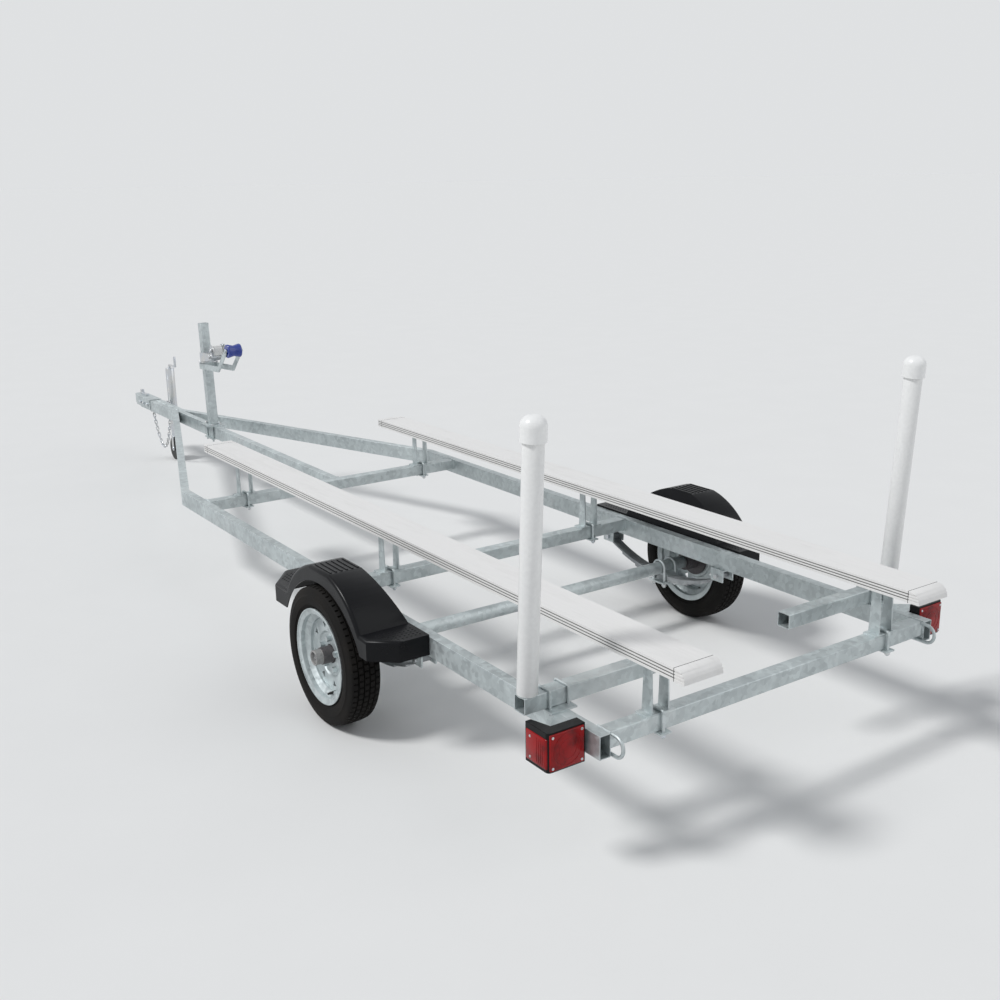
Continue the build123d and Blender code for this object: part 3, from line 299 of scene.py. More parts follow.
@dataclass(frozen=True)
class Galvanised:
    """Hot-dipped zinc: pale crystals, cloudy patches, soft runs and chalky spots."""

    name: str = "galvanised_zinc"
    dark: Colour = (0.37, 0.41, 0.42)
    light: Colour = (0.66, 0.715, 0.72)
    roughness: float = 0.46
    metallic: float = 0.72
    chalk: Colour = (0.74, 0.76, 0.76)
    warp: float = 0.02
    warp_scale: float = 16.0
    crystal_scale: float = 62.0
    cloud_scale: float = 5.5
    run_scale: float = 9.0
    run_stretch: Point = (1.0, 1.0, 0.22)
    chalk_scale: float = 3.1
    grit_scale: float = 900.0
    skin_scale: float = 160.0

    def material(self) -> bpy.types.Material:
        """Build the material.

        Returns:
            The zinc, with one pattern behind its colour, gloss and height.
        """
        net = Net(self.name)
        warped = net.noise(self.warp_scale, 3.0)
        point = net.object_point()
        shift = net.blend(self.warp, (0.0, 0.0, 0.0), warped)
        shifted = net.add("ShaderNodeVectorMath", {"operation": "ADD"}, {0: point, 1: shift})
        crystals = net.cells(self.crystal_scale, shifted)
        clouds = net.noise(self.cloud_scale, 4.0, 0.62)
        runs = net.noise(self.run_scale, 3.0, 0.55, net.stretched(self.run_stretch))
        grit = net.noise(self.grit_scale, 1.0)
        tone = crystals * 0.26 + clouds * 0.62 + runs * 0.38 + grit * 0.06
        level = net.clamp(tone, 0.38, 0.95)
        colour = net.blend(level, self.dark, self.light)
        chalky = net.clamp(net.noise(self.chalk_scale, 5.0, 0.7), 0.56, 0.70, 0.0, 0.45)
        colour = net.blend(chalky, colour, self.chalk)
        rough = net.clamp(crystals * 0.5 + clouds, 0.3, 1.2, self.roughness - 0.10, self.roughness + 0.16)
        height = clouds * 0.6 + net.noise(self.skin_scale, 2.0) * 0.3 + crystals * 0.12
        return net.close({
            "Base Color": colour, "Metallic": self.metallic, "Roughness": rough,
            "Normal": net.bump(height, 0.25, 0.002),
        })


@dataclass(frozen=True)
class PlatedZinc:
    """Bright electroplated steel with a faint warm and blue cast."""

    name: str = "plated_zinc"
    cool: Colour = (0.60, 0.63, 0.67)
    warm: Colour = (0.65, 0.65, 0.64)
    roughness: float = 0.28
    film_scale: float = 22.0
    wear_scale: float = 210.0

    def material(self) -> bpy.types.Material:
        """Build the material.

        Returns:
            The plating, with fine wear in its gloss.
        """
        net = Net(self.name)
        film = net.noise(self.film_scale, 2.0)
        colour = net.blend(net.clamp(film, 0.35, 0.65), self.cool, self.warm)
        wear = net.noise(self.wear_scale, 3.0, 0.6)
        rough = net.clamp(wear, 0.3, 0.7, self.roughness - 0.06, self.roughness + 0.12)
        return net.close({
            "Base Color": colour, "Metallic": 1.0, "Roughness": rough, "Normal": net.bump(wear, 0.12, 0.0006),
        })


@dataclass(frozen=True)
class Moulded:
    """Plastic or rubber with fine texture, soft colour change and dust."""

    name: str
    base: Colour
    dust: Colour
    roughness: float
    dust_amount: float = 0.15
    grain_scale: float = 420.0
    grain_depth: float = 0.0004
    coat: float = 0.0
    streak: Point = (1.0, 1.0, 1.0)
    specular: float = 0.5
    patch_scale: float = 7.0

    def material(self) -> bpy.types.Material:
        """Build the material.

        Returns:
            The moulding's finish, dusty in soft patches.
        """
        net = Net(self.name)
        patches = net.noise(self.patch_scale, 5.0, 0.62, net.stretched(self.streak))
        grain = net.noise(self.grain_scale, 2.0)
        shade = net.blend(net.clamp(grain, 0.3, 0.7, 0.0, 0.5), self.base, tuple(0.9 * c for c in self.base))
        dusty = net.clamp(patches, 0.45, 0.80, 0.0, self.dust_amount)
        colour = net.blend(dusty, shade, self.dust)
        rough = net.clamp(patches, 0.3, 0.8, self.roughness - 0.05, self.roughness + 0.10)
        return net.close({
            "Base Color": colour, "Roughness": rough, "Normal": net.bump(grain, 0.35, self.grain_depth),
            "Coat Weight": self.coat, "Coat Roughness": 0.12, "Specular IOR Level": self.specular,
        })


@dataclass(frozen=True)
class Webbing:
    """Woven polyester strap."""

    name: str = "webbing"
    thread: Colour = (0.80, 0.80, 0.78)
    # Painted shade between the threads.
    gap: Colour = (0.42, 0.42, 0.42)
    warp_scale: float = 130.0
    weft_scale: float = 150.0
    slack: float = 0.4

    def bands(self, net: Net, axis: str, scale: float) -> Wire:
        """Lay threads side by side along one axis, as a wave from 0 to 1."""
        inputs = {"Scale": scale, "Distortion": self.slack, "Vector": net.object_point()}
        return net.add("ShaderNodeTexWave", {"bands_direction": axis}, inputs, 1)

    def material(self) -> bpy.types.Material:
        """Build the material.

        Returns:
            The weave, with painted shade between its threads.
        """
        net = Net(self.name)
        weave = self.bands(net, "X", self.warp_scale) * 0.6 + self.bands(net, "Z", self.weft_scale) * 0.4
        # Painted shade in the gaps between the threads, following the weave's waves.
        colour = net.blend(net.clamp(weave, 0.1, 0.5), self.gap, self.thread)
        return net.close({"Base Color": colour, "Roughness": 0.85, "Normal": net.bump(weave, 0.5, 0.0006)})


@dataclass(frozen=True)
class HubPaint:
    """Dark cast barrel with a bare steel ring at its outer end."""

    name: str = "hub_grey"
    cast: Colour = (0.055, 0.050, 0.052)
    ring: Colour = (0.36, 0.355, 0.35)
    ring_from: float = 0.9012
    roughness: float = 0.46
    rust_scale: float = 120.0

    def material(self) -> bpy.types.Material:
        """Build the material.

        Returns:
            The hub's finish, bare where it is farthest out.
        """
        net = Net(self.name)
        on_ring = abs(net.axis("X")) > self.ring_from
        rust = net.noise(self.rust_scale, 4.0, 0.65)
        cast = net.blend(net.clamp(rust, 0.35, 0.7), self.cast, tuple(1.8 * c for c in self.cast))
        bare = net.blend(net.clamp(rust, 0.35, 0.7), self.ring, tuple(0.7 * c for c in self.ring))
        colour = net.blend(on_ring, cast, bare)
        return net.close({
            "Base Color": colour, "Metallic": on_ring * 0.5, "Roughness": self.roughness,
            "Normal": net.bump(rust, 0.3, 0.0006),
        })


@dataclass(frozen=True)
class Vinyl:
    """Extruded plank cover: pale grey, finely drawn along its length, with painted shade in its grooves, and wear.
    """

    middle_x: float
    middle_z: float
    half_w: float
    half_t: float
    ends: tuple[float, float]
    name: str = "bunk_vinyl"
    base: Colour = (0.79, 0.78, 0.765)
    grime: Colour = (0.57, 0.56, 0.54)
    # Painted shade: the dark colour laid in the grooves along the plank's edges.
    groove: Colour = (0.15, 0.145, 0.14)
    roughness: float = 0.46
    groove_depth: float = 0.0025
    lip: float = 0.0009
    drawn_scale: float = 150.0
    drawn_stretch: Point = (1.0, 0.012, 1.0)
    patch_scale: float = 5.0
    patch_stretch: Point = (2.5, 0.5, 2.5)
    scuff_scale: float = 34.0
    scuff_stretch: Point = (1.0, 0.25, 1.0)

    def in_groove(self, net: Net) -> Wire:
        """Mark the floors and walls of the grooves along the plank's edges, where painted shade goes.

        Args:
            net: The material's nodes.

        Returns:
            1 in a groove, 0 elsewhere.
        """
        across = abs(abs(net.axis("X")) - self.middle_x)
        up = abs(net.axis("Z") - self.middle_z)
        along = net.axis("Y")
        mouth = net.clamp(across, self.half_w - self.lip, self.half_w - self.lip / 3, 1.0, 0.0)
        deep = (across > self.half_w - self.groove_depth - self.lip / 3) * (up < self.half_t - self.lip)
        return mouth * deep * (along > self.ends[0]) * (along < self.ends[1])

    def material(self) -> bpy.types.Material:
        """Build the material.

        Returns:
            The vinyl, drawn along Y.
        """
        net = Net(self.name)
        drawn = net.noise(self.drawn_scale, 3.0, 0.6, net.stretched(self.drawn_stretch))
        patches = net.noise(self.patch_scale, 5.0, 0.65, net.stretched(self.patch_stretch))
        scuffs = net.noise(self.scuff_scale, 4.0, 0.7, net.stretched(self.scuff_stretch))
        shade = net.blend(net.clamp(drawn, 0.30, 0.70, 0.0, 0.30), self.base, tuple(0.90 * c for c in self.base))
        worn = net.clamp(patches * 0.6 + scuffs * 0.4, 0.50, 0.72, 0.0, 0.30)
        # The grooves get painted shade over the worn vinyl.
        colour = net.blend(self.in_groove(net), net.blend(worn, shade, self.grime), self.groove)
        rough = net.clamp(scuffs, 0.3, 0.7, self.roughness - 0.06, self.roughness + 0.16)
        height = drawn * 0.7 + scuffs * 0.3
        return net.close({"Base Color": colour, "Roughness": rough, "Normal": net.bump(height, 0.30, 0.0005)})


class Palette:
    """Every finish of the trailer, each made once."""

    def __init__(self, vinyl: Vinyl) -> None:
        """Build the materials by the record's slot names.

        Args:
            vinyl: The bunks' finish, set to the planks' place.
        """
        finishes: dict[str, Any] = {
            "galvanised": Galvanised(),
            "zinc": PlatedZinc(),
            "bunk_vinyl": vinyl,
            "pipe": Moulded(
                "white_pipe", (0.84, 0.84, 0.83), (0.70, 0.69, 0.67), 0.30, dust_amount=0.2,
                grain_scale=90.0, grain_depth=0.0002, coat=0.15, streak=(2.0, 2.0, 0.4)),
            "pipe_cap": Moulded(
                "white_cap", (0.88, 0.88, 0.87), (0.76, 0.75, 0.73), 0.30,
                grain_scale=90.0, grain_depth=0.0002, coat=0.15),
            "fender_plastic": Moulded(
                "black_fender", (0.0032, 0.0036, 0.0048), (0.010, 0.0105, 0.012), 0.30, dust_amount=0.25,
                grain_scale=260.0, grain_depth=0.0003, specular=0.17),
            "tyre": Moulded(
                "tyre_rubber", (0.0085, 0.0078, 0.0072), (0.032, 0.027, 0.023), 0.72, dust_amount=0.45,
                grain_scale=300.0, specular=0.13),
            "hub_paint": HubPaint(),
            "spring_steel": Galvanised("spring_zinc", (0.20, 0.21, 0.22), (0.38, 0.40, 0.41), 0.52, 0.6),
            "lamp_black": Moulded(
                "lamp_black", (0.004, 0.004, 0.0045), (0.014, 0.014, 0.014), 0.34, dust_amount=0.2,
                specular=0.18),
            # On the lens, the second colour is a darker red, blended in fully in large random patches.
            "lamp_red": Moulded(
                "lamp_red", (0.30, 0.0015, 0.003), (0.035, 0.0008, 0.0015), 0.10, dust_amount=1.0,
                grain_scale=60.0, grain_depth=0.0001, coat=0.1, specular=0.22, patch_scale=19.0),
            "strap": Webbing(),
            "roller_blue": Moulded(
                "roller_blue", (0.010, 0.035, 0.28), (0.03, 0.07, 0.32), 0.18,
                grain_scale=60.0, grain_depth=0.0002, coat=0.4),
            "grip_black": Moulded("grip_black", (0.012, 0.012, 0.012), (0.05, 0.05, 0.05), 0.55, dust_amount=0.2),
            "jack_wheel_black": Moulded(
                "jack_wheel", (0.012, 0.012, 0.012), (0.06, 0.055, 0.05), 0.5, dust_amount=0.3),
        }
        self.by_slot = {slot: finish.material() for slot, finish in finishes.items()}

    def dress(self, piece: bpy.types.Object, slot: str) -> None:
        """Give a piece one of the finishes.

        Args:
            piece: The piece, whose materials it replaces.
            slot: The record's name for the finish.
        """
        piece.data.materials.clear()
        piece.data.materials.append(self.by_slot[slot])


class Bench:
    """Modelling operators with their selection made first."""

    @staticmethod
    def clear() -> None:
        """Leave edit mode and deselect everything."""
        if bpy.context.object and bpy.context.object.mode != "OBJECT":
            bpy.ops.object.mode_set(mode="OBJECT")
        bpy.ops.object.select_all(action="DESELECT")

    @staticmethod
    def only(piece: bpy.types.Object) -> None:
        """Select one piece and make it active.

        Args:
            piece: The piece.
        """
        Bench.clear()
        piece.select_set(True)
        bpy.context.view_layer.objects.active = piece

    @staticmethod
    def settle(piece: bpy.types.Object) -> bpy.types.Object:
        """Apply a piece's place, turn and scale to its mesh.

        Args:
            piece: The piece.

        Returns:
            The same piece, at the origin.
        """
        Bench.only(piece)
        bpy.ops.object.transform_apply(location=True, rotation=True, scale=True)
        return piece

    @staticmethod
    def cylinder(name: str, radius: float, length: float, at: Sequence[float], along: Vector,
                 sides: int = 24) -> bpy.types.Object:
        """Add a round bar.

        Args:
            name: Its name.
            radius: Its radius.
            length: Its length.
            at: Its middle.
            along: The way it points.
            sides: How many flats its round has.

        Returns:
            The bar, settled.
        """
        Bench.clear()
        turn = along.to_track_quat("Z", "Y").to_euler()
        bpy.ops.mesh.primitive_cylinder_add(vertices=sides, radius=radius, depth=length, location=at, rotation=turn)
        piece = bpy.context.object
        piece.name = name
        return Bench.settle(piece)

    @staticmethod
    def modify(piece: bpy.types.Object, kind: str, settings: dict[str, Any]) -> None:
        """Add a modifier with its settings and apply it.

        Args:
            piece: The piece to change.
            kind: The modifier's type.
            settings: Its settings by name.
        """
        Bench.only(piece)
        modifier = piece.modifiers.new(kind.title(), kind)
        for key, value in settings.items():
            setattr(modifier, key, value)
        bpy.ops.object.modifier_apply(modifier=modifier.name)

    @staticmethod
    def round_edges(piece: bpy.types.Object, width: float, segments: int = 2, angle: float = 35.0) -> None:
        """Bevel the sharp edges."""
        Bench.modify(piece, "BEVEL", {"width": width, "segments": segments, "angle_limit": math.radians(angle)})

    @staticmethod
    def smooth(piece: bpy.types.Object, angle: float = 32.0) -> None:
        """Shade smoothly up to an angle between faces."""
        Bench.only(piece)
        bpy.ops.object.shade_smooth_by_angle(angle=math.radians(angle))

    @staticmethod
    def pick_faces(piece: bpy.types.Object, test: Callable[[Vector, Vector], bool]) -> None:
        """Open a piece in edit mode with some of its faces selected.

        Args:
            piece: The piece.
            test: Says from a face's centre and normal whether it is selected.
        """
        Bench.only(piece)
        for polygon in piece.data.polygons:
            polygon.select = test(polygon.center, polygon.normal)
        for edge in piece.data.edges:
            edge.select = False
        for vertex in piece.data.vertices:
            vertex.select = False
        chosen = {v for p in piece.data.polygons if p.select for v in p.vertices}
        for index in chosen:
            piece.data.vertices[index].select = True
        bpy.ops.object.mode_set(mode="EDIT")
        bpy.ops.mesh.select_mode(type="FACE")

    @staticmethod
    def outline(name: str, points: Sequence[Sequence[float]]) -> bpy.types.Object:
        """Draw an open line by extruding a vertex from point to point.

        Args:
            name: The line's name.
            points: The points, in order.

        Returns:
            The line, as edges only.
        """
        Bench.clear()
        bpy.ops.mesh.primitive_plane_add(size=0.001, location=(0.0, 0.0, 0.0))
        piece = bpy.context.object
        piece.name = name
        bpy.ops.object.mode_set(mode="EDIT")
        bpy.ops.mesh.select_mode(type="VERT")
        bpy.ops.mesh.merge(type="CENTER")
        bpy.ops.transform.translate(value=points[0])
        for start, end in zip(points, points[1:]):
            step = Vector(end) - Vector(start)
            bpy.ops.mesh.extrude_region_move(TRANSFORM_OT_translate={"value": step})
        bpy.ops.object.mode_set(mode="OBJECT")
        return Bench.settle(piece)

    @staticmethod
    def spin(piece: bpy.types.Object, centre: Sequence[float], axis: Sequence[float], steps: int) -> None:
        """Turn a line a whole turn about an axis and close its seam.

        Args:
            piece: The line.
            centre: A point on the axis.
            axis: The axis' direction.
            steps: How many steps make the turn.
        """
        Bench.only(piece)
        bpy.ops.object.mode_set(mode="EDIT")
        bpy.ops.mesh.select_all(action="SELECT")
        bpy.ops.mesh.spin(steps=steps, angle=math.tau, center=centre, axis=axis)
        bpy.ops.mesh.select_all(action="SELECT")
        bpy.ops.mesh.remove_doubles(threshold=MERGE_GAP)
        bpy.ops.mesh.normals_make_consistent(inside=False)
        bpy.ops.object.mode_set(mode="OBJECT")

    @staticmethod
    def join(name: str, pieces: Sequence[bpy.types.Object]) -> bpy.types.Object:
        """Join pieces into one.

        Args:
            name: The joined piece's name.
            pieces: The pieces, which it uses up.

        Returns:
            The joined piece, settled.
        """
        Bench.only(pieces[0])
        for piece in pieces:
            piece.select_set(True)
        if len(pieces) > 1:
            bpy.ops.object.join()
        joined = bpy.context.object
        joined.name = name
        return Bench.settle(joined)

    @staticmethod
    def copy_to(template: bpy.types.Object, at: Sequence[float], along: Vector | None = None,
                twist: float = 0.0) -> bpy.types.Object:
        """Copy a template, drawn along Z from the origin.

        Args:
            template: The piece to copy.
            at: Where the copy's foot goes.
            along: The way it points, if not as the template does.
            twist: Its turn about itself, in radians.

        Returns:
            The copy, with its own mesh.
        """
        copy = template.copy()
        copy.data = template.data.copy()
        bpy.context.scene.collection.objects.link(copy)
        turn = along.to_track_quat("Z", "Y").to_matrix().to_4x4() if along else Matrix()
        copy.data.transform(Matrix.Translation(Vector(at)) @ turn @ Matrix.Rotation(twist, 4, "Z"))
        return copy


class Hexagon(Enum):
    """Nuts and heads: width across flats, height and the washer's radius."""

    SCREW = (0.0062, 0.0012, 0.0040)
    M6 = (0.011, 0.004, 0.0070)
    M8 = (0.013, 0.0065, 0.0085)
    M10 = (0.017, 0.008, 0.0105)
    M12 = (0.019, 0.010, 0.012)


class Fastener:
    """A hex nut or bolt head on its washer, modelled once and copied."""

    washer_share = 0.25
    edge_share = 0.10
    turn_each = 0.37

    def __init__(self, size: Hexagon, name: str) -> None:
        """Model the fastener at the origin, pointing along Z.

        Args:
            size: Its size.
            name: Its name.
        """
        across, height, washer_radius = size.value
        washer_t = height * self.washer_share
        up = Direction.UP.vector
        washer = Bench.cylinder(name, washer_radius, washer_t, (0.0, 0.0, washer_t / 2), up, sides=20)
        corner_radius = across / 2 / math.cos(math.pi / 6)
        nut = Bench.cylinder(name, corner_radius, height, (0.0, 0.0, washer_t + height / 2), up, sides=6)
        Bench.round_edges(nut, height * self.edge_share, 1)
        self.template = Bench.join(name, [washer, nut])
        Bench.smooth(self.template)

    def at(self, places: Iterable[Place]) -> list[bpy.types.Object]:
        """Copy the fastener to each place, each copy turned a little further than the last."""
        return [Bench.copy_to(self.template, place, along, self.turn_each * index)
                for index, (place, along) in enumerate(places)]

    def scrap(self) -> None:
        """Remove the template."""
        bpy.data.objects.remove(self.template)


class Workshop:
    """What the sub-assemblies share: the frame, the finishes and the edges' softening."""

    flat_angle = math.radians(0.8)
    sharp_angle = math.radians(38)

    def __init__(self) -> None:
        """Load the frame and build the finishes."""
        self.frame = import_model()
        self.record = self.frame["record"]
        low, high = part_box("bunk_right")
        middle, half = (low + high) / 2, (high - low) / 2
        ends = (low.y + BunkCaps.cap_l, high.y - Vinyl.lip)
        self.palette = Palette(Vinyl(middle.x, middle.z, half.x, half.z, ends))
        self.box_at_load = [list(corner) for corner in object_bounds()]
        self.slot_of = {row["node"]: row["material_slot"] for row in self.record["subparts"]}

    def finish_nodes(self, names: Iterable[str]) -> None:
        """Give CAD nodes the finish of their slot.

        Args:
            names: The nodes.
        """
        for name in names:
            material = self.palette.by_slot[self.slot_of[name]]
            for slot in self.frame["nodes"][name].material_slots:
                slot.material = material

    def soften(self, name: str, width: float) -> None:
        """Round a node's edges with live modifiers that leave its own mesh alone.

        Args:
            name: The node.
            width: The bevel's width.
        """
        node = self.frame["nodes"][name]
        weld = node.modifiers.new("Weld", "WELD")
        weld.merge_threshold = MERGE_GAP
        flat = node.modifiers.new("Flat", "DECIMATE")
        flat.decimate_type = "DISSOLVE"
        flat.angle_limit = self.flat_angle
        bevel = node.modifiers.new("Bevel", "BEVEL")
        bevel.width = width
        bevel.segments = 2
        bevel.angle_limit = self.sharp_angle
        bevel.harden_normals = True

    def shaft(self, body: str) -> Vector:
        """A point on the axis that a body turns about."""
        joint = next(j for j in self.record["behaviour"]["joints"] if j["child"] == body)
        return Vector(joint["pos_m"])

    def add(self, piece: bpy.types.Object, slot: str, body: str, replaces: Sequence[str] = ()) -> None:
        """Dress a new piece, put it on its body and report it.

        Args:
            piece: The finished piece.
            slot: The record's finish for it.
            body: The CAD body that it rides on.
            replaces: CAD nodes that it stands for.
        """
        self.palette.dress(piece, slot)
        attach(piece, body)
        if replaces:
            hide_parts(*replaces)
        LOG.info("piece %s on %s: %d faces", piece.name, body, len(piece.data.polygons))


@dataclass
class Tyre:
    """A trailer tyre with ribbed tread blocks and rings on its walls."""

    shop: Workshop
    side: Side
    steps: int = 192
    ribs: int = 5
    gap: float = 0.0046
    groove: float = 0.0065
    draft: float = 0.0009
    crown: float = 0.0045
    edge_share: float = 0.80
    bead_at: float = 0.614
    bead_gap: float = 0.0004
    slot_every: int = 3
    slot_inset: float = 0.0030
    slot_depth: float = 0.0045
    slot_reach: float = 0.0058
    slot_slant: float = 0.9
    toe_share: float = 0.60
    liner_share: float = 0.72
    liner_drop: float = 0.05
    tread_t: float = 0.022
    heel_share: float = 0.77
    smooth_angle: float = 35.0
    from_bead: tuple[tuple[float, float], ...] = (
        (0.77, 0.0), (0.79, 0.019), (0.84, 0.022), (0.86, 0.026), (0.93, 0.031), (0.955, 0.0315),
        (0.965, 0.035), (0.99, 0.042), (1.0, 0.050),
    )
    from_tread: tuple[tuple[float, float], ...] = (
        (0.995, 0.038), (1.0, 0.0365), (0.995, 0.0345), (0.975, 0.033), (0.95, 0.026), (0.925, 0.020),
        (0.90, 0.0135), (0.86, 0.008),
    )

    def wall(self, half: float, radius: float, bead: float) -> list[tuple[float, float]]:
        """Points of one side wall, with its moulded rings.

        Args:
            half: Half the tyre's width.
            radius: The tread's radius.
            bead: The bead's radius.

        Returns:
            Places across the tyre and radii, from the bead to the tread's edge.
        """
        lower = [(-half * share, bead + rise) for share, rise in self.from_bead]
        upper = [(-half * share, radius - drop) for share, drop in self.from_tread]
        return lower + upper + [(-half * self.edge_share, radius - self.crown)]

    def rib_pitch(self, half: float) -> float:
        """Distance between the middles of two ribs."""
        return (2 * half * self.edge_share + self.gap) / self.ribs

    def section(self, half: float, radius: float, bead: float) -> list[tuple[float, float]]:
        """Points of the whole section, round the outside and back through the inside.

        Args:
            half: Half the tyre's width.
            radius: The tread's radius.
            bead: The bead's radius.

        Returns:
            Places across the tyre and radii.
        """
        wall = self.wall(half, radius, bead)
        edge = half * self.edge_share
        width = self.rib_pitch(half) - self.gap
        tread: list[tuple[float, float]] = []
        for rib in range(self.ribs):
            start = -edge + rib * (width + self.gap)
            for a in (start, start + width):
                tread.append((a, radius - self.crown * (a / edge) ** 2))
            if rib < self.ribs - 1:
                floor = radius - self.groove - self.crown * (start / edge) ** 2
                tread += [(start + width + self.draft, floor), (start + width + self.gap - self.draft, floor)]
        other = [(-a, r) for a, r in reversed(wall)]
        toe, liner, heel = half * self.toe_share, half * self.liner_share, half * self.heel_share
        shoulder = radius - self.liner_drop
        inside = [
            (toe, bead), (liner, shoulder), (0.0, radius - self.tread_t), (-liner, shoulder), (-toe, bead),
            (-heel, bead),
        ]
        return wall + tread[1:-1] + other + inside

    def build(self) -> None:
        """Model the tyre at its node's place."""
        node = f"tyre_{self.side.label}"
        low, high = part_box(node)
        centre = (low + high) / 2
        radius = (high.z - low.z) / 2
        half = (high.x - low.x) / 2
        outline = self.section(half, radius, radius * self.bead_at + self.bead_gap)
        points = [(centre.x + a, centre.y, centre.z + r) for a, r in outline]
        tyre = Bench.outline(node + "_rubber", points)
        Bench.spin(tyre, centre, (1.0, 0.0, 0.0), self.steps)
        self.cut_blocks(tyre, centre, radius, self.rib_pitch(half))
        Bench.smooth(tyre, self.smooth_angle)
        self.shop.add(tyre, "tyre", f"wheel_{self.side.label}", [node])

    def cut_blocks(self, tyre: bpy.types.Object, centre: Vector, radius: float, pitch: float) -> None:
        """Part the ribs into blocks by sinking narrow slots across them.

        Args:
            tyre: The spun tyre.
            centre: The wheel's centre.
            radius: The tread's radius.
            pitch: Distance between the ribs' middles.
        """
        step = math.tau / self.steps

        def on_slot(middle: Vector, normal: Vector) -> bool:
            """Say whether a face is where a slot goes.

            Args:
                middle: The face's centre.
                normal: Its normal.

            Returns:
                True on a slot.
            """
            arm = Vector((0.0, middle.y - centre.y, middle.z - centre.z))
            place = round(math.atan2(arm.z, arm.y) / step - 0.5)
            rib = round((middle.x - centre.x) / pitch)
            outside = arm.length > radius - self.slot_reach and arm.normalized().dot(normal) > self.slot_slant
            return outside and (place + rib) % self.slot_every == 0

        Bench.pick_faces(tyre, on_slot)
        bpy.ops.mesh.inset(thickness=self.slot_inset, depth=-self.slot_depth, use_individual=True)
        bpy.ops.object.mode_set(mode="OBJECT")


@dataclass
class Wheels:
    """Tyres, rims, hubs, valve stems and grease caps on both sides."""

    shop: Workshop
    rim_edge: float = 0.0011
    hub_edge: float = 0.0012
    part_edge: float = 0.0010
    stem_angle: float = math.radians(-103.0)
    stem_share: float = 0.79
    stem_in: float = 0.036
    stem: tuple[float, float] = (0.0052, 0.030)
    foot: tuple[float, float] = (0.0085, 0.005)
    foot_in: float = 0.013
    cap: tuple[float, float] = (0.0040, 0.010)
    cap_out: float = 0.019
    plug: tuple[float, float] = (0.0202, 0.0030)
    plug_in: float = 0.0132
    nipple: tuple[float, float] = (0.0042, 0.0075)
    nipple_out: float = 0.0045

    def build(self) -> None:
        """Build both wheels."""
        for side in Side:
            Tyre(self.shop, side).build()
            self.shop.finish_nodes([f"rim_{side.label}", f"hub_{side.label}"])
            self.shop.soften(f"rim_{side.label}", self.rim_edge)
            self.shop.soften(f"hub_{side.label}", self.hub_edge)
            self.valve(side)
            self.grease_cap(side)

    def face_middle(self, node: str, side: Side) -> Vector:
        """Find the middle of a round node's outer face.

        Args:
            node: The node.
            side: The side that it is on.

        Returns:
            The point.
        """
        low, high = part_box(node)
        centre = (low + high) / 2
        return Vector((side.outer(low, high), centre.y, centre.z))

    def fit(self, name: str, parts: list[bpy.types.Object], slot: str, side: Side) -> None:
        """Round the parts of a fitting, join them and put them on the wheel.

        Args:
            name: The fitting's name.
            parts: Its bars.
            slot: Its finish.
            side: The wheel's side.
        """
        for part in parts:
            Bench.round_edges(part, self.part_edge, 2)
        fitting = Bench.join(f"{name}_{side.label}", parts)
        Bench.smooth(fitting)
        self.shop.add(fitting, slot, f"wheel_{side.label}")

    def valve(self, side: Side) -> None:
        """Put a rubber valve stem with its cap in the rim's barrel.

        Args:
            side: The wheel's side.
        """
        low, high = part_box(f"rim_{side.label}")
        radius = (high.z - low.z) / 2 * self.stem_share
        out = side.outward.vector
        root = self.face_middle(f"rim_{side.label}", side) - out * self.stem_in
        root += Vector((0.0, math.cos(self.stem_angle), math.sin(self.stem_angle))) * radius
        self.fit("valve_stem", [
            Bench.cylinder("stem", *self.stem, root, out, sides=20),
            Bench.cylinder("foot", *self.foot, root - out * self.foot_in, out, sides=20),
            Bench.cylinder("cap", *self.cap, root + out * self.cap_out, out, sides=12),
        ], "grip_black", side)

    def grease_cap(self, side: Side) -> None:
        """Close the hub's open end with a plug and its grease nipple.

        Args:
            side: The wheel's side.
        """
        out = side.outward.vector
        floor = self.face_middle(f"hub_{side.label}", side) - out * self.plug_in
        self.fit("grease_cap", [
            Bench.cylinder("plug", *self.plug, floor, out, sides=40),
            Bench.cylinder("nipple", *self.nipple, floor + out * self.nipple_out, out, sides=16),
        ], "zinc", side)


@dataclass
class Frame:
    """Rails, tongue, crossmembers and what else keeps its CAD shape, with softened edges."""

    shop: Workshop
    replaced: tuple[str, ...] = ("tyre_", "winch_strap", "tail_light_lenses")
    edge_widths: tuple[tuple[str, float], ...] = (
        ("rail", 0.0012), ("tongue_tube", 0.0012), ("crossmember", 0.0010), ("bunk_brackets", 0.0014),
        ("bunk_left", 0.0009), ("bunk_right", 0.0009), ("guide_arm", 0.0012), ("guide_post", 0.0010),
        ("spring_mounts", 0.0016), ("leaf_spring", 0.0018), ("fender", 0.0016), ("winch_frame", 0.0012),
        ("winch_post", 0.0012), ("winch_handle", 0.0008), ("winch_drum", 0.0005), ("roller_bracket", 0.0014),
        ("coupler", 0.0018), ("light_brackets", 0.0010), ("jack", 0.0014), ("safety_chain", 0.0022),
        ("tail_light", 0.0016), ("winch_grip", 0.0030), ("bow_roller", 0.0040), ("axle", 0.0015),
    )

    def build(self) -> None:
        """Dress every node that keeps its shape and soften its edges."""
        names = [name for name in self.shop.frame["nodes"] if not name.startswith(self.replaced)]
        self.shop.finish_nodes(names)
        for name in names:
            widths = [width for start, width in self.edge_widths if name.startswith(start)]
            if widths:
                self.shop.soften(name, widths[0])


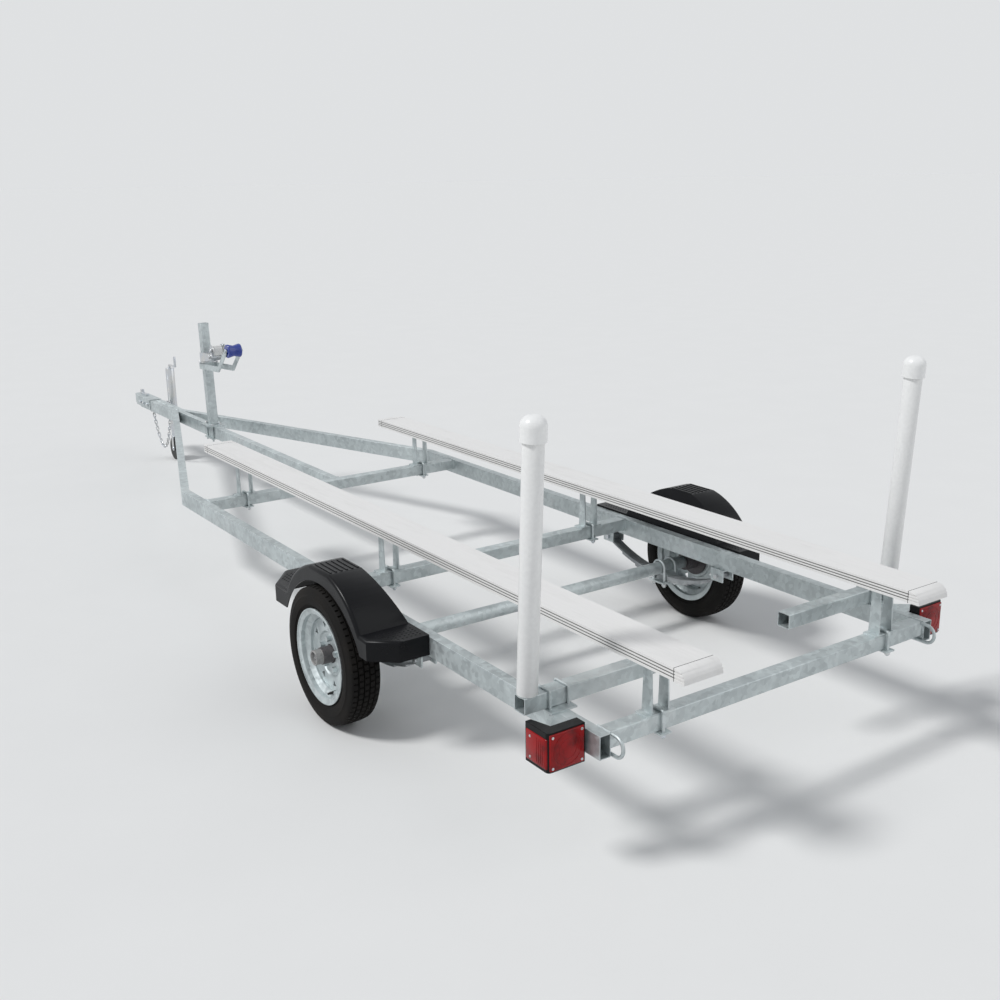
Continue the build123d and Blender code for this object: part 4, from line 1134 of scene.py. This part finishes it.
@dataclass
class Welds:
    """Rippled weld beads where tubes meet."""

    shop: Workshop
    bead: float = 0.0032
    ripple: float = 0.0050
    sink: float = 0.0006
    tongue_foot: float = 0.02
    stitches: int = 4
    stitch_start: float = 0.01
    stitch_l: float = 0.06

    def scale(self) -> bpy.types.Object:
        """Model one scale of a bead on the origin.

        Returns:
            The scale.
        """
        Bench.clear()
        bpy.ops.mesh.primitive_uv_sphere_add(segments=10, ring_count=6, radius=self.bead, location=(0.0, 0.0, 0.0))
        return Bench.settle(bpy.context.object)

    def bead_along(self, start: Vector, end: Vector, last: bool = True) -> list[Vector]:
        """Space overlapping scales from one point to another.

        Args:
            start: The first scale's place.
            end: The last scale's place.
            last: Whether the last scale is laid too.

        Returns:
            The scales' places.
        """
        span = end - start
        count = max(2, int(span.length / self.ripple))
        return [start + span * (index / count) for index in range(count + 1 if last else count)]

    def round_tube(self, x: float, low: Vector, high: Vector) -> list[Vector]:
        """Space scales along the four edges where a tube along X meets a wall.

        Args:
            x: The wall's place.
            low: The tube's low corner.
            high: The tube's high corner.

        Returns:
            The places of all four beads, with one scale at each corner.
        """
        y0, y1, z0, z1 = low.y - self.sink, high.y + self.sink, low.z - self.sink, high.z + self.sink
        corners = [Vector((x, y, z)) for y, z in ((y0, z0), (y1, z0), (y1, z1), (y0, z1))]
        places = []
        for corner, following in zip(corners, corners[1:] + corners[:1]):
            places += self.bead_along(corner, following, last=False)
        return places

    def build(self) -> None:
        """Weld the crossmembers' ends, the tongue tube's foot and the seam between the rails."""
        places: list[Vector] = []
        for station in STATIONS:
            low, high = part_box(f"crossmember_{station}")
            for x in (low.x + self.sink, high.x - self.sink):
                places += self.round_tube(x, low, high)
        low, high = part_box("tongue_tube")
        for x in (low.x - self.sink, high.x + self.sink):
            foot = Vector((x, low.y, low.z + self.tongue_foot))
            places += self.bead_along(Vector((x, low.y, high.z)), foot)
        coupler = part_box("coupler")[0]
        for index in range(self.stitches):
            start = high.y + (coupler.y - high.y) * index / self.stitches + self.stitch_start
            end = Vector((0.0, start + self.stitch_l, high.z))
            places += self.bead_along(Vector((0.0, start, high.z)), end)
        template = self.scale()
        beads = Bench.join("weld_beads", [Bench.copy_to(template, at) for at in places])
        bpy.data.objects.remove(template)
        Bench.smooth(beads, angle=60.0)
        self.shop.add(beads, "galvanised", TRAILER)


@dataclass
class Bolts:
    """Nuts and bolt heads of the clamps, the winch post, the coupler, the jack and the springs."""

    shop: Workshop
    rod_over: float = 0.0080
    rod_up: float = 0.005
    arm_middle: float = 0.055
    arm_beyond: float = 0.013
    arm_within: float = 0.051
    arm_rod: float = 0.0314
    axle_rod_x: float = 0.0295
    axle_rod_y: float = 0.0317
    rod_end: float = 0.018
    base_t: float = 0.008
    base_middle: float = 0.065
    base_x: float = 0.024
    base_y: float = 0.048
    post_half: float = 0.047
    post_back: float = 0.071
    arm_rise: float = 0.042
    coupler_row: tuple[float, ...] = (0.035, 0.115, 0.175)
    coupler_rise: float = 0.030
    jack_plate_t: float = 0.006
    jack_in_y: float = 0.008
    jack_in_z: float = 0.009
    pin_drop: float = 0.014
    cheek_half: float = 0.030

    def crossmember_clamps(self) -> Iterable[Place]:
        """Nuts under the plates that pull the bunk brackets down.

        Yields:
            Each fastener's place and the way it points.
        """
        for side in Side:
            low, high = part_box(f"bunk_{side.label}")
            x = (low.x + high.x) / 2
            for station in STATIONS:
                base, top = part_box(f"crossmember_{station}")
                for y in (base.y - self.rod_over, top.y + self.rod_over):
                    yield (x, y, base.z - self.rod_up), Direction.DOWN.vector

    def arm_clamps(self) -> Iterable[Place]:
        """Nuts of the clamps that hold the guide arms on the rails.

        Yields:
            Each fastener's place and the way it points.
        """
        for side in Side:
            rail_low, rail_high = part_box(f"rail_{side.label}")
            outer = side.outer(rail_low, rail_high)
            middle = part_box(f"guide_arm_{side.label}")[0].y + self.arm_middle
            for x in (outer + side.value * self.arm_beyond, outer - side.value * self.arm_within):
                for y in (middle - self.arm_rod, middle + self.arm_rod):
                    yield (x, y, rail_high.z), Direction.DOWN.vector

    def axle_clamps(self) -> Iterable[Place]:
        """Nuts under the plates below the springs.

        Yields:
            Each fastener's place and the way it points.
        """
        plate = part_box("spring_mounts")[0].z + self.rod_end
        for side in Side:
            low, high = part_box(f"leaf_spring_{side.label}")
            middle = (low + high) / 2
            for dx in (-self.axle_rod_x, self.axle_rod_x):
                for dy in (-self.axle_rod_y, self.axle_rod_y):
                    yield (middle.x + dx, middle.y + dy, plate), Direction.DOWN.vector

    def post_bolts(self) -> Iterable[Place]:
        """Nuts on the winch post's base plate, and heads through its roller arms.

        Yields:
            Each fastener's place and the way it points.
        """
        low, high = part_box("winch_post")
        middle = low.y + self.base_middle
        base_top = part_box("rail_left")[1].z + self.base_t
        for x in (-self.base_x, self.base_x):
            for dy in (-self.base_y, self.base_y):
                yield (x, middle + dy, base_top), Direction.UP.vector
        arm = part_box("roller_bracket")[0].z + self.arm_rise
        for side in Side:
            yield (side.value * self.post_half, high.y - self.post_back, arm), side.outward.vector

    def coupler_bolts(self) -> Iterable[Place]:
        """Heads on both sides of the coupler.

        Yields:
            Each fastener's place and the way it points.
        """
        low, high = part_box("coupler")
        for side in Side:
            for dy in self.coupler_row:
                at = (side.outer(low, high), low.y + dy, low.z + self.coupler_rise)
                yield at, side.outward.vector

    def jack_bolts(self) -> Iterable[Place]:
        """Heads at the corners of the jack's plate, behind the turning lug.

        Yields:
            Each fastener's place and the way it points.
        """
        low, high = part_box("jack_mount")
        for z in (low.z + self.jack_in_z, high.z - self.jack_in_z):
            for y in (low.y + self.jack_in_y, high.y - self.jack_in_y):
                yield (low.x + self.jack_plate_t, y, z), Direction.STARBOARD.vector

    def hanger_bolts(self) -> Iterable[Place]:
        """Nuts on the eye bolts of the springs.

        Yields:
            Each fastener's place and the way it points.
        """
        for side in Side:
            low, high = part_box(f"leaf_spring_{side.label}")
            x = (low.x + high.x) / 2
            for y in (low.y + self.pin_drop, high.y - self.pin_drop):
                for out in (Direction.PORT, Direction.STARBOARD):
                    yield Vector((x, y, high.z - self.pin_drop)) + out.vector * self.cheek_half, out.vector

    def build(self) -> None:
        """Place every fastener."""
        small = Fastener(Hexagon.M10, "nut_m10")
        nuts = small.at(self.crossmember_clamps())
        tiny = Fastener(Hexagon.M8, "nut_m8")
        nuts += tiny.at(self.arm_clamps())
        large = Fastener(Hexagon.M12, "nut_m12")
        nuts += large.at(self.axle_clamps())
        nuts += small.at(self.post_bolts())
        nuts += large.at(self.coupler_bolts())
        head = Fastener(Hexagon.M6, "bolt_m6")
        nuts += head.at(self.jack_bolts())
        nuts += small.at(self.hanger_bolts())
        for fastener in (small, tiny, large, head):
            fastener.scrap()
        self.shop.add(Bench.join("frame_bolts", nuts), "zinc", TRAILER)


@dataclass(frozen=True)
class PinnedEnd:
    """A washer that a split pin holds on a shaft's end."""

    washer: tuple[float, float]
    pin: tuple[float, float]
    pin_out: float
    lean: float = 0.0
    washer_edge: float = 0.0004

    def make(self, at: Vector, out: Direction) -> list[bpy.types.Object]:
        """Model the washer and its pin.

        Args:
            at: The washer's middle.
            out: The way out of the shaft's end.

        Returns:
            The washer and the pin.
        """
        washer = Bench.cylinder("washer", *self.washer, at, out.vector, sides=28)
        Bench.round_edges(washer, self.washer_edge, 1)
        across = Vector((0.0, self.lean, 1.0)).normalized()
        return [washer, Bench.cylinder("pin", *self.pin, at + out.vector * self.pin_out, across, sides=10)]


@dataclass
class WinchDetails:
    """The rolled strap, and what holds the winch's shafts and the roller's pin."""

    shop: Workshop
    ply: float = 0.0016
    slack: float = 1.12
    core: float = 0.0163
    steps: int = 22
    start_angle: float = 0.9
    clip_out: float = 0.0022
    arm_half: float = 0.0484
    shaft_end: PinnedEnd = PinnedEnd((0.0125, 0.0022), (0.0011, 0.024), 0.0030, 0.4)
    roller_end: PinnedEnd = PinnedEnd((0.0140, 0.0024), (0.0012, 0.026), 0.004)

    def build(self) -> None:
        """Roll the strap and cap the shafts."""
        self.strap()
        self.clip("winch_drum_body", "drum_clip")
        self.clip("winch_crank", "pinion_clip")
        self.roller_caps()

    def strap(self) -> None:
        """Wind the webbing in a spiral between the drum's flanges."""
        low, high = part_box("winch_strap")
        centre = (low + high) / 2
        outer = (high.z - low.z) / 2
        turns = (outer - self.core) / (self.ply * self.slack)
        count = int(turns * self.steps)
        points = []
        for index in range(count + 1):
            share = index / count
            radius = self.core + (outer - self.ply - self.core) * share
            angle = math.tau * turns * share + self.start_angle
            points.append((low.x, centre.y + radius * math.cos(angle), centre.z + radius * math.sin(angle)))
        strap = Bench.outline("strap_roll", points)
        Bench.only(strap)
        bpy.ops.object.mode_set(mode="EDIT")
        bpy.ops.mesh.select_all(action="SELECT")
        bpy.ops.mesh.extrude_region_move(TRANSFORM_OT_translate={"value": (high.x - low.x, 0.0, 0.0)})
        bpy.ops.mesh.select_all(action="SELECT")
        bpy.ops.mesh.normals_make_consistent(inside=False)
        bpy.ops.object.mode_set(mode="OBJECT")
        Bench.modify(strap, "SOLIDIFY", {"thickness": self.ply, "offset": 0.0})
        Bench.smooth(strap, angle=40.0)
        self.shop.add(strap, "strap", "winch_drum_body", ["winch_strap"])

    def clip(self, body: str, name: str) -> None:
        """Hold the port end of a shaft.

        Args:
            body: The body that turns with the shaft.
            name: The clip's name.
        """
        at = self.shop.shaft(body)
        at.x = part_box("winch_frame")[0].x - self.clip_out
        clip = Bench.join(name, self.shaft_end.make(at, Direction.PORT))
        Bench.smooth(clip)
        self.shop.add(clip, "zinc", body)

    def roller_caps(self) -> None:
        """Hold both ends of the roller's pin."""
        parts = []
        for side in Side:
            at = self.shop.shaft("bow_roller_body")
            at.x = side.value * self.arm_half
            parts += self.roller_end.make(at, side.outward)
        caps = Bench.join("roller_pin_ends", parts)
        Bench.smooth(caps)
        self.shop.add(caps, "zinc", TRAILER)


@dataclass
class Lamps:
    """Moulded lens covers of the tail lights, with their screws."""

    shop: Workshop
    housing_w: float = 0.124
    proud: float = 0.003
    cover_t: float = 0.009
    cover_edge: float = 0.0035
    inner_margin: float = 0.004
    outer_margin: float = 0.0055
    dish_r: float = 0.046
    dish_flat_r: float = 0.008
    dish_h: float = 0.0040
    ring_share: float = 0.62
    ring_lift: float = 1.15
    round_sides: int = 56
    flank_top: float = 0.013
    flank_bottom: float = 0.101
    flank_aft: float = 0.0085
    flank_fore: float = 0.100
    rib_r: float = 0.0011
    rib_count: int = 5
    rib_pitch: float = 0.0085
    rib_aft: float = 0.016
    rib_short: float = 0.018
    screw_in: float = 0.013
    screw_out: float = 0.014
    screw_edge: float = 0.009
    flank_screw_y: float = 0.079
    flank_screws: tuple[float, ...] = (0.028, 0.088)

    def build(self) -> None:
        """Dress both lights with covers that stand for the plain lenses."""
        low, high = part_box("tail_light_lenses")
        covers: list[bpy.types.Object] = []
        heads: list[bpy.types.Object] = []
        screw = Fastener(Hexagon.SCREW, "screw")
        for side in Side:
            edge = side.outer(low, high) - side.value * self.proud
            covers += self.rear(side, edge, low, high)
            covers += self.flank(side, edge, low.y, high.z)
            heads += screw.at(self.screws(side, edge, low, high))
        screw.scrap()
        lenses = Bench.join("lens_covers", covers)
        Bench.smooth(lenses, angle=40.0)
        self.shop.add(lenses, "lamp_red", TRAILER, ["tail_light_lenses"])
        self.shop.add(Bench.join("lens_screws", heads), "zinc", TRAILER)

    def slab(self, corner: Sequence[float], opposite: Sequence[float]) -> bpy.types.Object:
        """Add a cover with rounded edges.

        Args:
            corner: One corner.
            opposite: The corner opposite.

        Returns:
            The cover.
        """
        Bench.clear()
        low = Vector([min(a, b) for a, b in zip(corner, opposite)])
        high = Vector([max(a, b) for a, b in zip(corner, opposite)])
        bpy.ops.mesh.primitive_cube_add(size=1.0, location=(low + high) / 2, scale=high - low)
        cover = Bench.settle(bpy.context.object)
        Bench.round_edges(cover, self.cover_edge, 3)
        return cover

    def rear(self, side: Side, edge: float, low: Vector, high: Vector) -> list[bpy.types.Object]:
        """Model the rear cover: a slab with a shallow dish-shaped lens and two rings on it.

        Args:
            side: The light's side.
            edge: X of the housing's outer face.
            low: The lenses' low corner.
            high: The lenses' high corner.

        Returns:
            The cover's parts.
        """
        inner = edge - side.value * (self.housing_w - self.inner_margin)
        outer = edge - side.value * self.outer_margin
        parts = [self.slab((inner, low.y, low.z), (outer, low.y + self.cover_t, high.z))]
        middle = Vector(((inner + outer) / 2, low.y, (high.z + low.z) / 2))
        aft = Direction.AFT.vector
        turn = aft.to_track_quat("Z", "Y").to_euler()
        Bench.clear()
        bpy.ops.mesh.primitive_cone_add(
            vertices=self.round_sides, radius1=self.dish_r, radius2=self.dish_flat_r, depth=self.dish_h,
            location=middle + aft * self.dish_h / 2, rotation=turn)
        parts.append(Bench.settle(bpy.context.object))
        for radius in (self.dish_r, self.dish_r * self.ring_share):
            Bench.clear()
            at = middle + aft * self.dish_h * (1.0 - radius / self.dish_r) * self.ring_lift
            bpy.ops.mesh.primitive_torus_add(
                major_segments=self.round_sides, minor_segments=8, major_radius=radius,
                minor_radius=self.rib_r, location=at, rotation=turn)
            parts.append(Bench.settle(bpy.context.object))
        return parts

    def flank(self, side: Side, edge: float, y: float, top: float) -> list[bpy.types.Object]:
        """Model the side cover: a slab with upright ribs on its rear half.

        Args:
            side: The light's side.
            edge: X of the housing's outer face.
            y: The lenses' rear face.
            top: The lenses' top.

        Returns:
            The cover's parts.
        """
        z0, z1 = top - self.flank_bottom, top - self.flank_top
        face = edge + side.value * self.proud
        back = face - side.value * self.cover_t
        parts = [self.slab((face, y + self.flank_aft, z0), (back, y + self.flank_fore, z1))]
        first = (face, y + self.rib_aft, (z0 + z1) / 2)
        rib = Bench.cylinder("rib", self.rib_r, z1 - z0 - self.rib_short, first, Direction.UP.vector, sides=10)
        copies = [Bench.copy_to(rib, (0.0, self.rib_pitch * column, 0.0)) for column in range(1, self.rib_count)]
        return parts + [rib] + copies

    def screws(self, side: Side, edge: float, low: Vector, high: Vector) -> Iterable[Place]:
        """Places of four screws in the rear cover and two in the side cover.

        Args:
            side: The light's side.
            edge: X of the housing's outer face.
            low: The lenses' low corner.
            high: The lenses' high corner.

        Yields:
            Each screw's place and the way it points.
        """
        inner = edge - side.value * (self.housing_w - self.screw_in)
        outer = edge - side.value * self.screw_out
        for x in (inner, outer):
            for z in (low.z + self.screw_edge, high.z - self.screw_edge):
                yield (x, low.y, z), Direction.AFT.vector
        face = edge + side.value * self.proud
        for drop in self.flank_screws:
            yield (face, low.y + self.flank_screw_y, high.z - drop), side.outward.vector


@dataclass
class BunkCaps:
    """Painted shade: dark bands over the seams where the bunks' moulded end caps meet the planks."""

    shop: Workshop
    cap_l: float = 0.040
    seam_w: float = 0.0018
    proud: float = 0.0003

    def build(self) -> None:
        """Ring every end with a band of painted shade at its seam, cut from a copy of the plank's own mesh."""
        seams = []
        for side in Side:
            low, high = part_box(f"bunk_{side.label}")
            for y in (low.y + self.cap_l, high.y - self.cap_l):
                seams.append(self.seam(self.shop.frame["nodes"][f"bunk_{side.label}"], y))
        # Each band is painted shade in a seam, in the dark grip finish.
        self.shop.add(Bench.join("bunk_cap_seams", seams), "grip_black", TRAILER)

    def seam(self, plank: bpy.types.Object, y: float) -> bpy.types.Object:
        """Cut a narrow band of the plank's skin, a hair larger than the plank.

        Args:
            plank: The plank's node, which is left alone.
            y: The band's middle.

        Returns:
            The band.
        """
        Bench.clear()
        band = bpy.data.objects.new("seam", plank.data.copy())
        bpy.context.scene.collection.objects.link(band)
        band.matrix_world = plank.matrix_world.copy()
        Bench.settle(band)
        bpy.ops.object.mode_set(mode="EDIT")
        bpy.ops.mesh.select_mode(type="VERT")
        bpy.ops.mesh.select_all(action="SELECT")
        bpy.ops.mesh.remove_doubles(threshold=MERGE_GAP)
        for place, keep in ((y - self.seam_w / 2, "clear_inner"), (y + self.seam_w / 2, "clear_outer")):
            bpy.ops.mesh.bisect(plane_co=(0.0, place, 0.0), plane_no=(0.0, 1.0, 0.0), **{keep: True})
            bpy.ops.mesh.select_all(action="SELECT")
        bpy.ops.transform.shrink_fatten(value=self.proud)
        bpy.ops.object.mode_set(mode="OBJECT")
        Bench.modify(band, "SOLIDIFY", {"thickness": self.proud * 2, "offset": -1.0})
        return band


@dataclass
class FenderDetails:
    """Moulded tread pads on the fenders' steps."""

    shop: Workshop
    stud_pitch: float = 0.016
    stud_r: float = 0.0045
    stud_h: float = 0.0014
    stud_top_share: float = 0.55
    step_rise: float = 0.008
    inner_margin: float = 0.020
    fore_span: tuple[float, float] = (0.300, 0.030)
    aft_span: tuple[float, float] = (0.025, 0.305)
    pad_w: float = 0.140
    corner_l: float = 0.085
    corner_slope: float = 0.9

    def build(self) -> None:
        """Raise a pad of low studs on the front and rear steps."""
        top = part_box("rail_left")[1].z + self.step_rise
        template = self.stud()
        for side in Side:
            low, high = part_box(f"fender_{side.label}")
            inner = side.value * (min(abs(low.x), abs(high.x)) + self.inner_margin)
            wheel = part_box(f"tyre_{side.label}")
            axle = (wheel[0].y + wheel[1].y) / 2
            studs = []
            for y0, y1 in (
                (axle + self.fore_span[0], high.y - self.fore_span[1]),
                (low.y + self.aft_span[0], axle - self.aft_span[1]),
            ):
                for row in range(int((y1 - y0) / self.stud_pitch) + 1):
                    y = y0 + row * self.stud_pitch
                    cut = max(0.0, self.corner_l - min(high.y - y, y - low.y)) * self.corner_slope
                    for column in range(int((self.pad_w - cut) / self.stud_pitch) + 1):
                        x = inner + side.value * column * self.stud_pitch
                        studs.append(Bench.copy_to(template, (x, y, top)))
            pad = Bench.join(f"fender_pads_{side.label}", studs)
            Bench.smooth(pad, angle=60.0)
            self.shop.add(pad, "fender_plastic", TRAILER)
        bpy.data.objects.remove(template)

    def stud(self) -> bpy.types.Object:
        """Model one low stud with its foot on the origin.

        Returns:
            The stud.
        """
        Bench.clear()
        bpy.ops.mesh.primitive_cone_add(
            vertices=10, radius1=self.stud_r, radius2=self.stud_r * self.stud_top_share, depth=self.stud_h,
            location=(0.0, 0.0, self.stud_h / 2))
        return Bench.settle(bpy.context.object)


@dataclass
class Studio:
    """Pale floor, soft lamps and the camera at the photograph's place."""

    camera_at: Point = (-2.4804, -5.0471, 1.8268)
    yaw: float = 34.37
    pitch: float = 15.54
    roll: float = -0.91
    lens: float = 41.906
    sensor: float = 36.0
    floor_size: float = 900.0
    floor_drop: float = 0.0005
    floor_colour: Colour = (0.80, 0.80, 0.79)
    floor_shade: float = 0.97
    floor_scale: float = 3.0
    sky_light: Colour = (0.86, 0.90, 0.96)
    sky_strength: float = 0.42
    backdrop: Colour = (0.741, 0.754, 0.765)

    def build(self) -> None:
        """Build the stage."""
        self.floor()
        self.world()
        self.camera()
        self.sun("key", comes_from=(-1.0, 0.35, 1.25), spread=14.0, power=2.0)
        self.sun("fill", comes_from=(0.9, -1.1, 0.9), spread=60.0, power=0.55)
        bpy.context.scene.view_settings.view_transform = "Standard"

    def floor(self) -> None:
        """Lay a pale sheet of floor, without gloss, so that it keeps its tone up to the horizon."""
        Bench.clear()
        bpy.ops.mesh.primitive_plane_add(size=self.floor_size, location=(0.0, 0.0, -self.floor_drop))
        floor = Bench.settle(bpy.context.object)
        floor.name = "floor"
        net = Net("floor")
        shade = tuple(self.floor_shade * c for c in self.floor_colour)
        colour = net.blend(net.noise(self.floor_scale, 4.0), self.floor_colour, shade)
        floor.data.materials.append(net.close({"Base Color": colour, "Roughness": 0.9, "Specular IOR Level": 0.0}))
        floor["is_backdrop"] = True

    def world(self) -> None:
        """Light evenly, with the plain backdrop for the camera, for reflections and through glass."""
        world = bpy.data.worlds.new("studio")
        bpy.context.scene.world = world
        net = Net("studio", world)
        seen = net.add("ShaderNodeLightPath", out="Is Camera Ray")
        for ray in ("Is Glossy Ray", "Is Transmission Ray"):
            path = net.add("ShaderNodeLightPath", out=ray)
            seen = net.add("ShaderNodeMath", {"operation": "MAXIMUM"}, {0: seen, 1: path})
        light = {"Color": (*self.sky_light, 1.0), "Strength": self.sky_strength}
        plain = {"Color": (*self.backdrop, 1.0), "Strength": 1.0}
        dim, bright = (net.add("ShaderNodeBackground", {}, inputs) for inputs in (light, plain))
        net.show(net.add("ShaderNodeMixShader", {}, {0: seen, 1: dim, 2: bright}), "ShaderNodeOutputWorld")

    def camera(self) -> None:
        """Set the camera up, turned by yaw, pitch and roll."""
        yaw, pitch, roll = (math.radians(angle) for angle in (self.yaw, self.pitch, self.roll))
        ahead = Vector((math.sin(yaw) * math.cos(pitch), math.cos(yaw) * math.cos(pitch), -math.sin(pitch)))
        right = Vector((math.cos(yaw), -math.sin(yaw), 0.0))
        up = right.cross(ahead)
        tilted_right = right * math.cos(roll) + up * math.sin(roll)
        tilted_up = up * math.cos(roll) - right * math.sin(roll)
        camera = bpy.data.objects.new("camera", bpy.data.cameras.new("camera"))
        bpy.context.scene.collection.objects.link(camera)
        camera.data.lens = self.lens
        camera.data.sensor_width = self.sensor
        turn = Matrix((tilted_right, tilted_up, -ahead)).transposed().to_4x4()
        camera.matrix_world = Matrix.Translation(self.camera_at) @ turn
        bpy.context.scene.camera = camera

    @staticmethod
    def sun(name: str, comes_from: Point, spread: float, power: float) -> None:
        """Hang a distant lamp with a soft edge to its shadows.

        Args:
            name: The lamp's name.
            comes_from: The way towards the lamp.
            spread: Its width in the sky, in degrees.
            power: Its strength.
        """
        light = bpy.data.lights.new(name, "SUN")
        light.angle = math.radians(spread)
        light.energy = power
        lamp = bpy.data.objects.new(name, light)
        bpy.context.scene.collection.objects.link(lamp)
        lamp.rotation_euler = Vector(comes_from).to_track_quat("Z", "Y").to_euler()


def main() -> None:
    """Build the stage and every sub-assembly in order."""
    logging.basicConfig(level=logging.INFO, format="%(name)s: %(message)s")
    shop = Workshop()
    Studio().build()
    for kind in (Frame, Wheels, Welds, Bolts, WinchDetails, Lamps, BunkCaps, FenderDetails):
        kind(shop).build()
        LOG.info("built %s", kind.__name__)


if __name__ == "__main__":
    main()
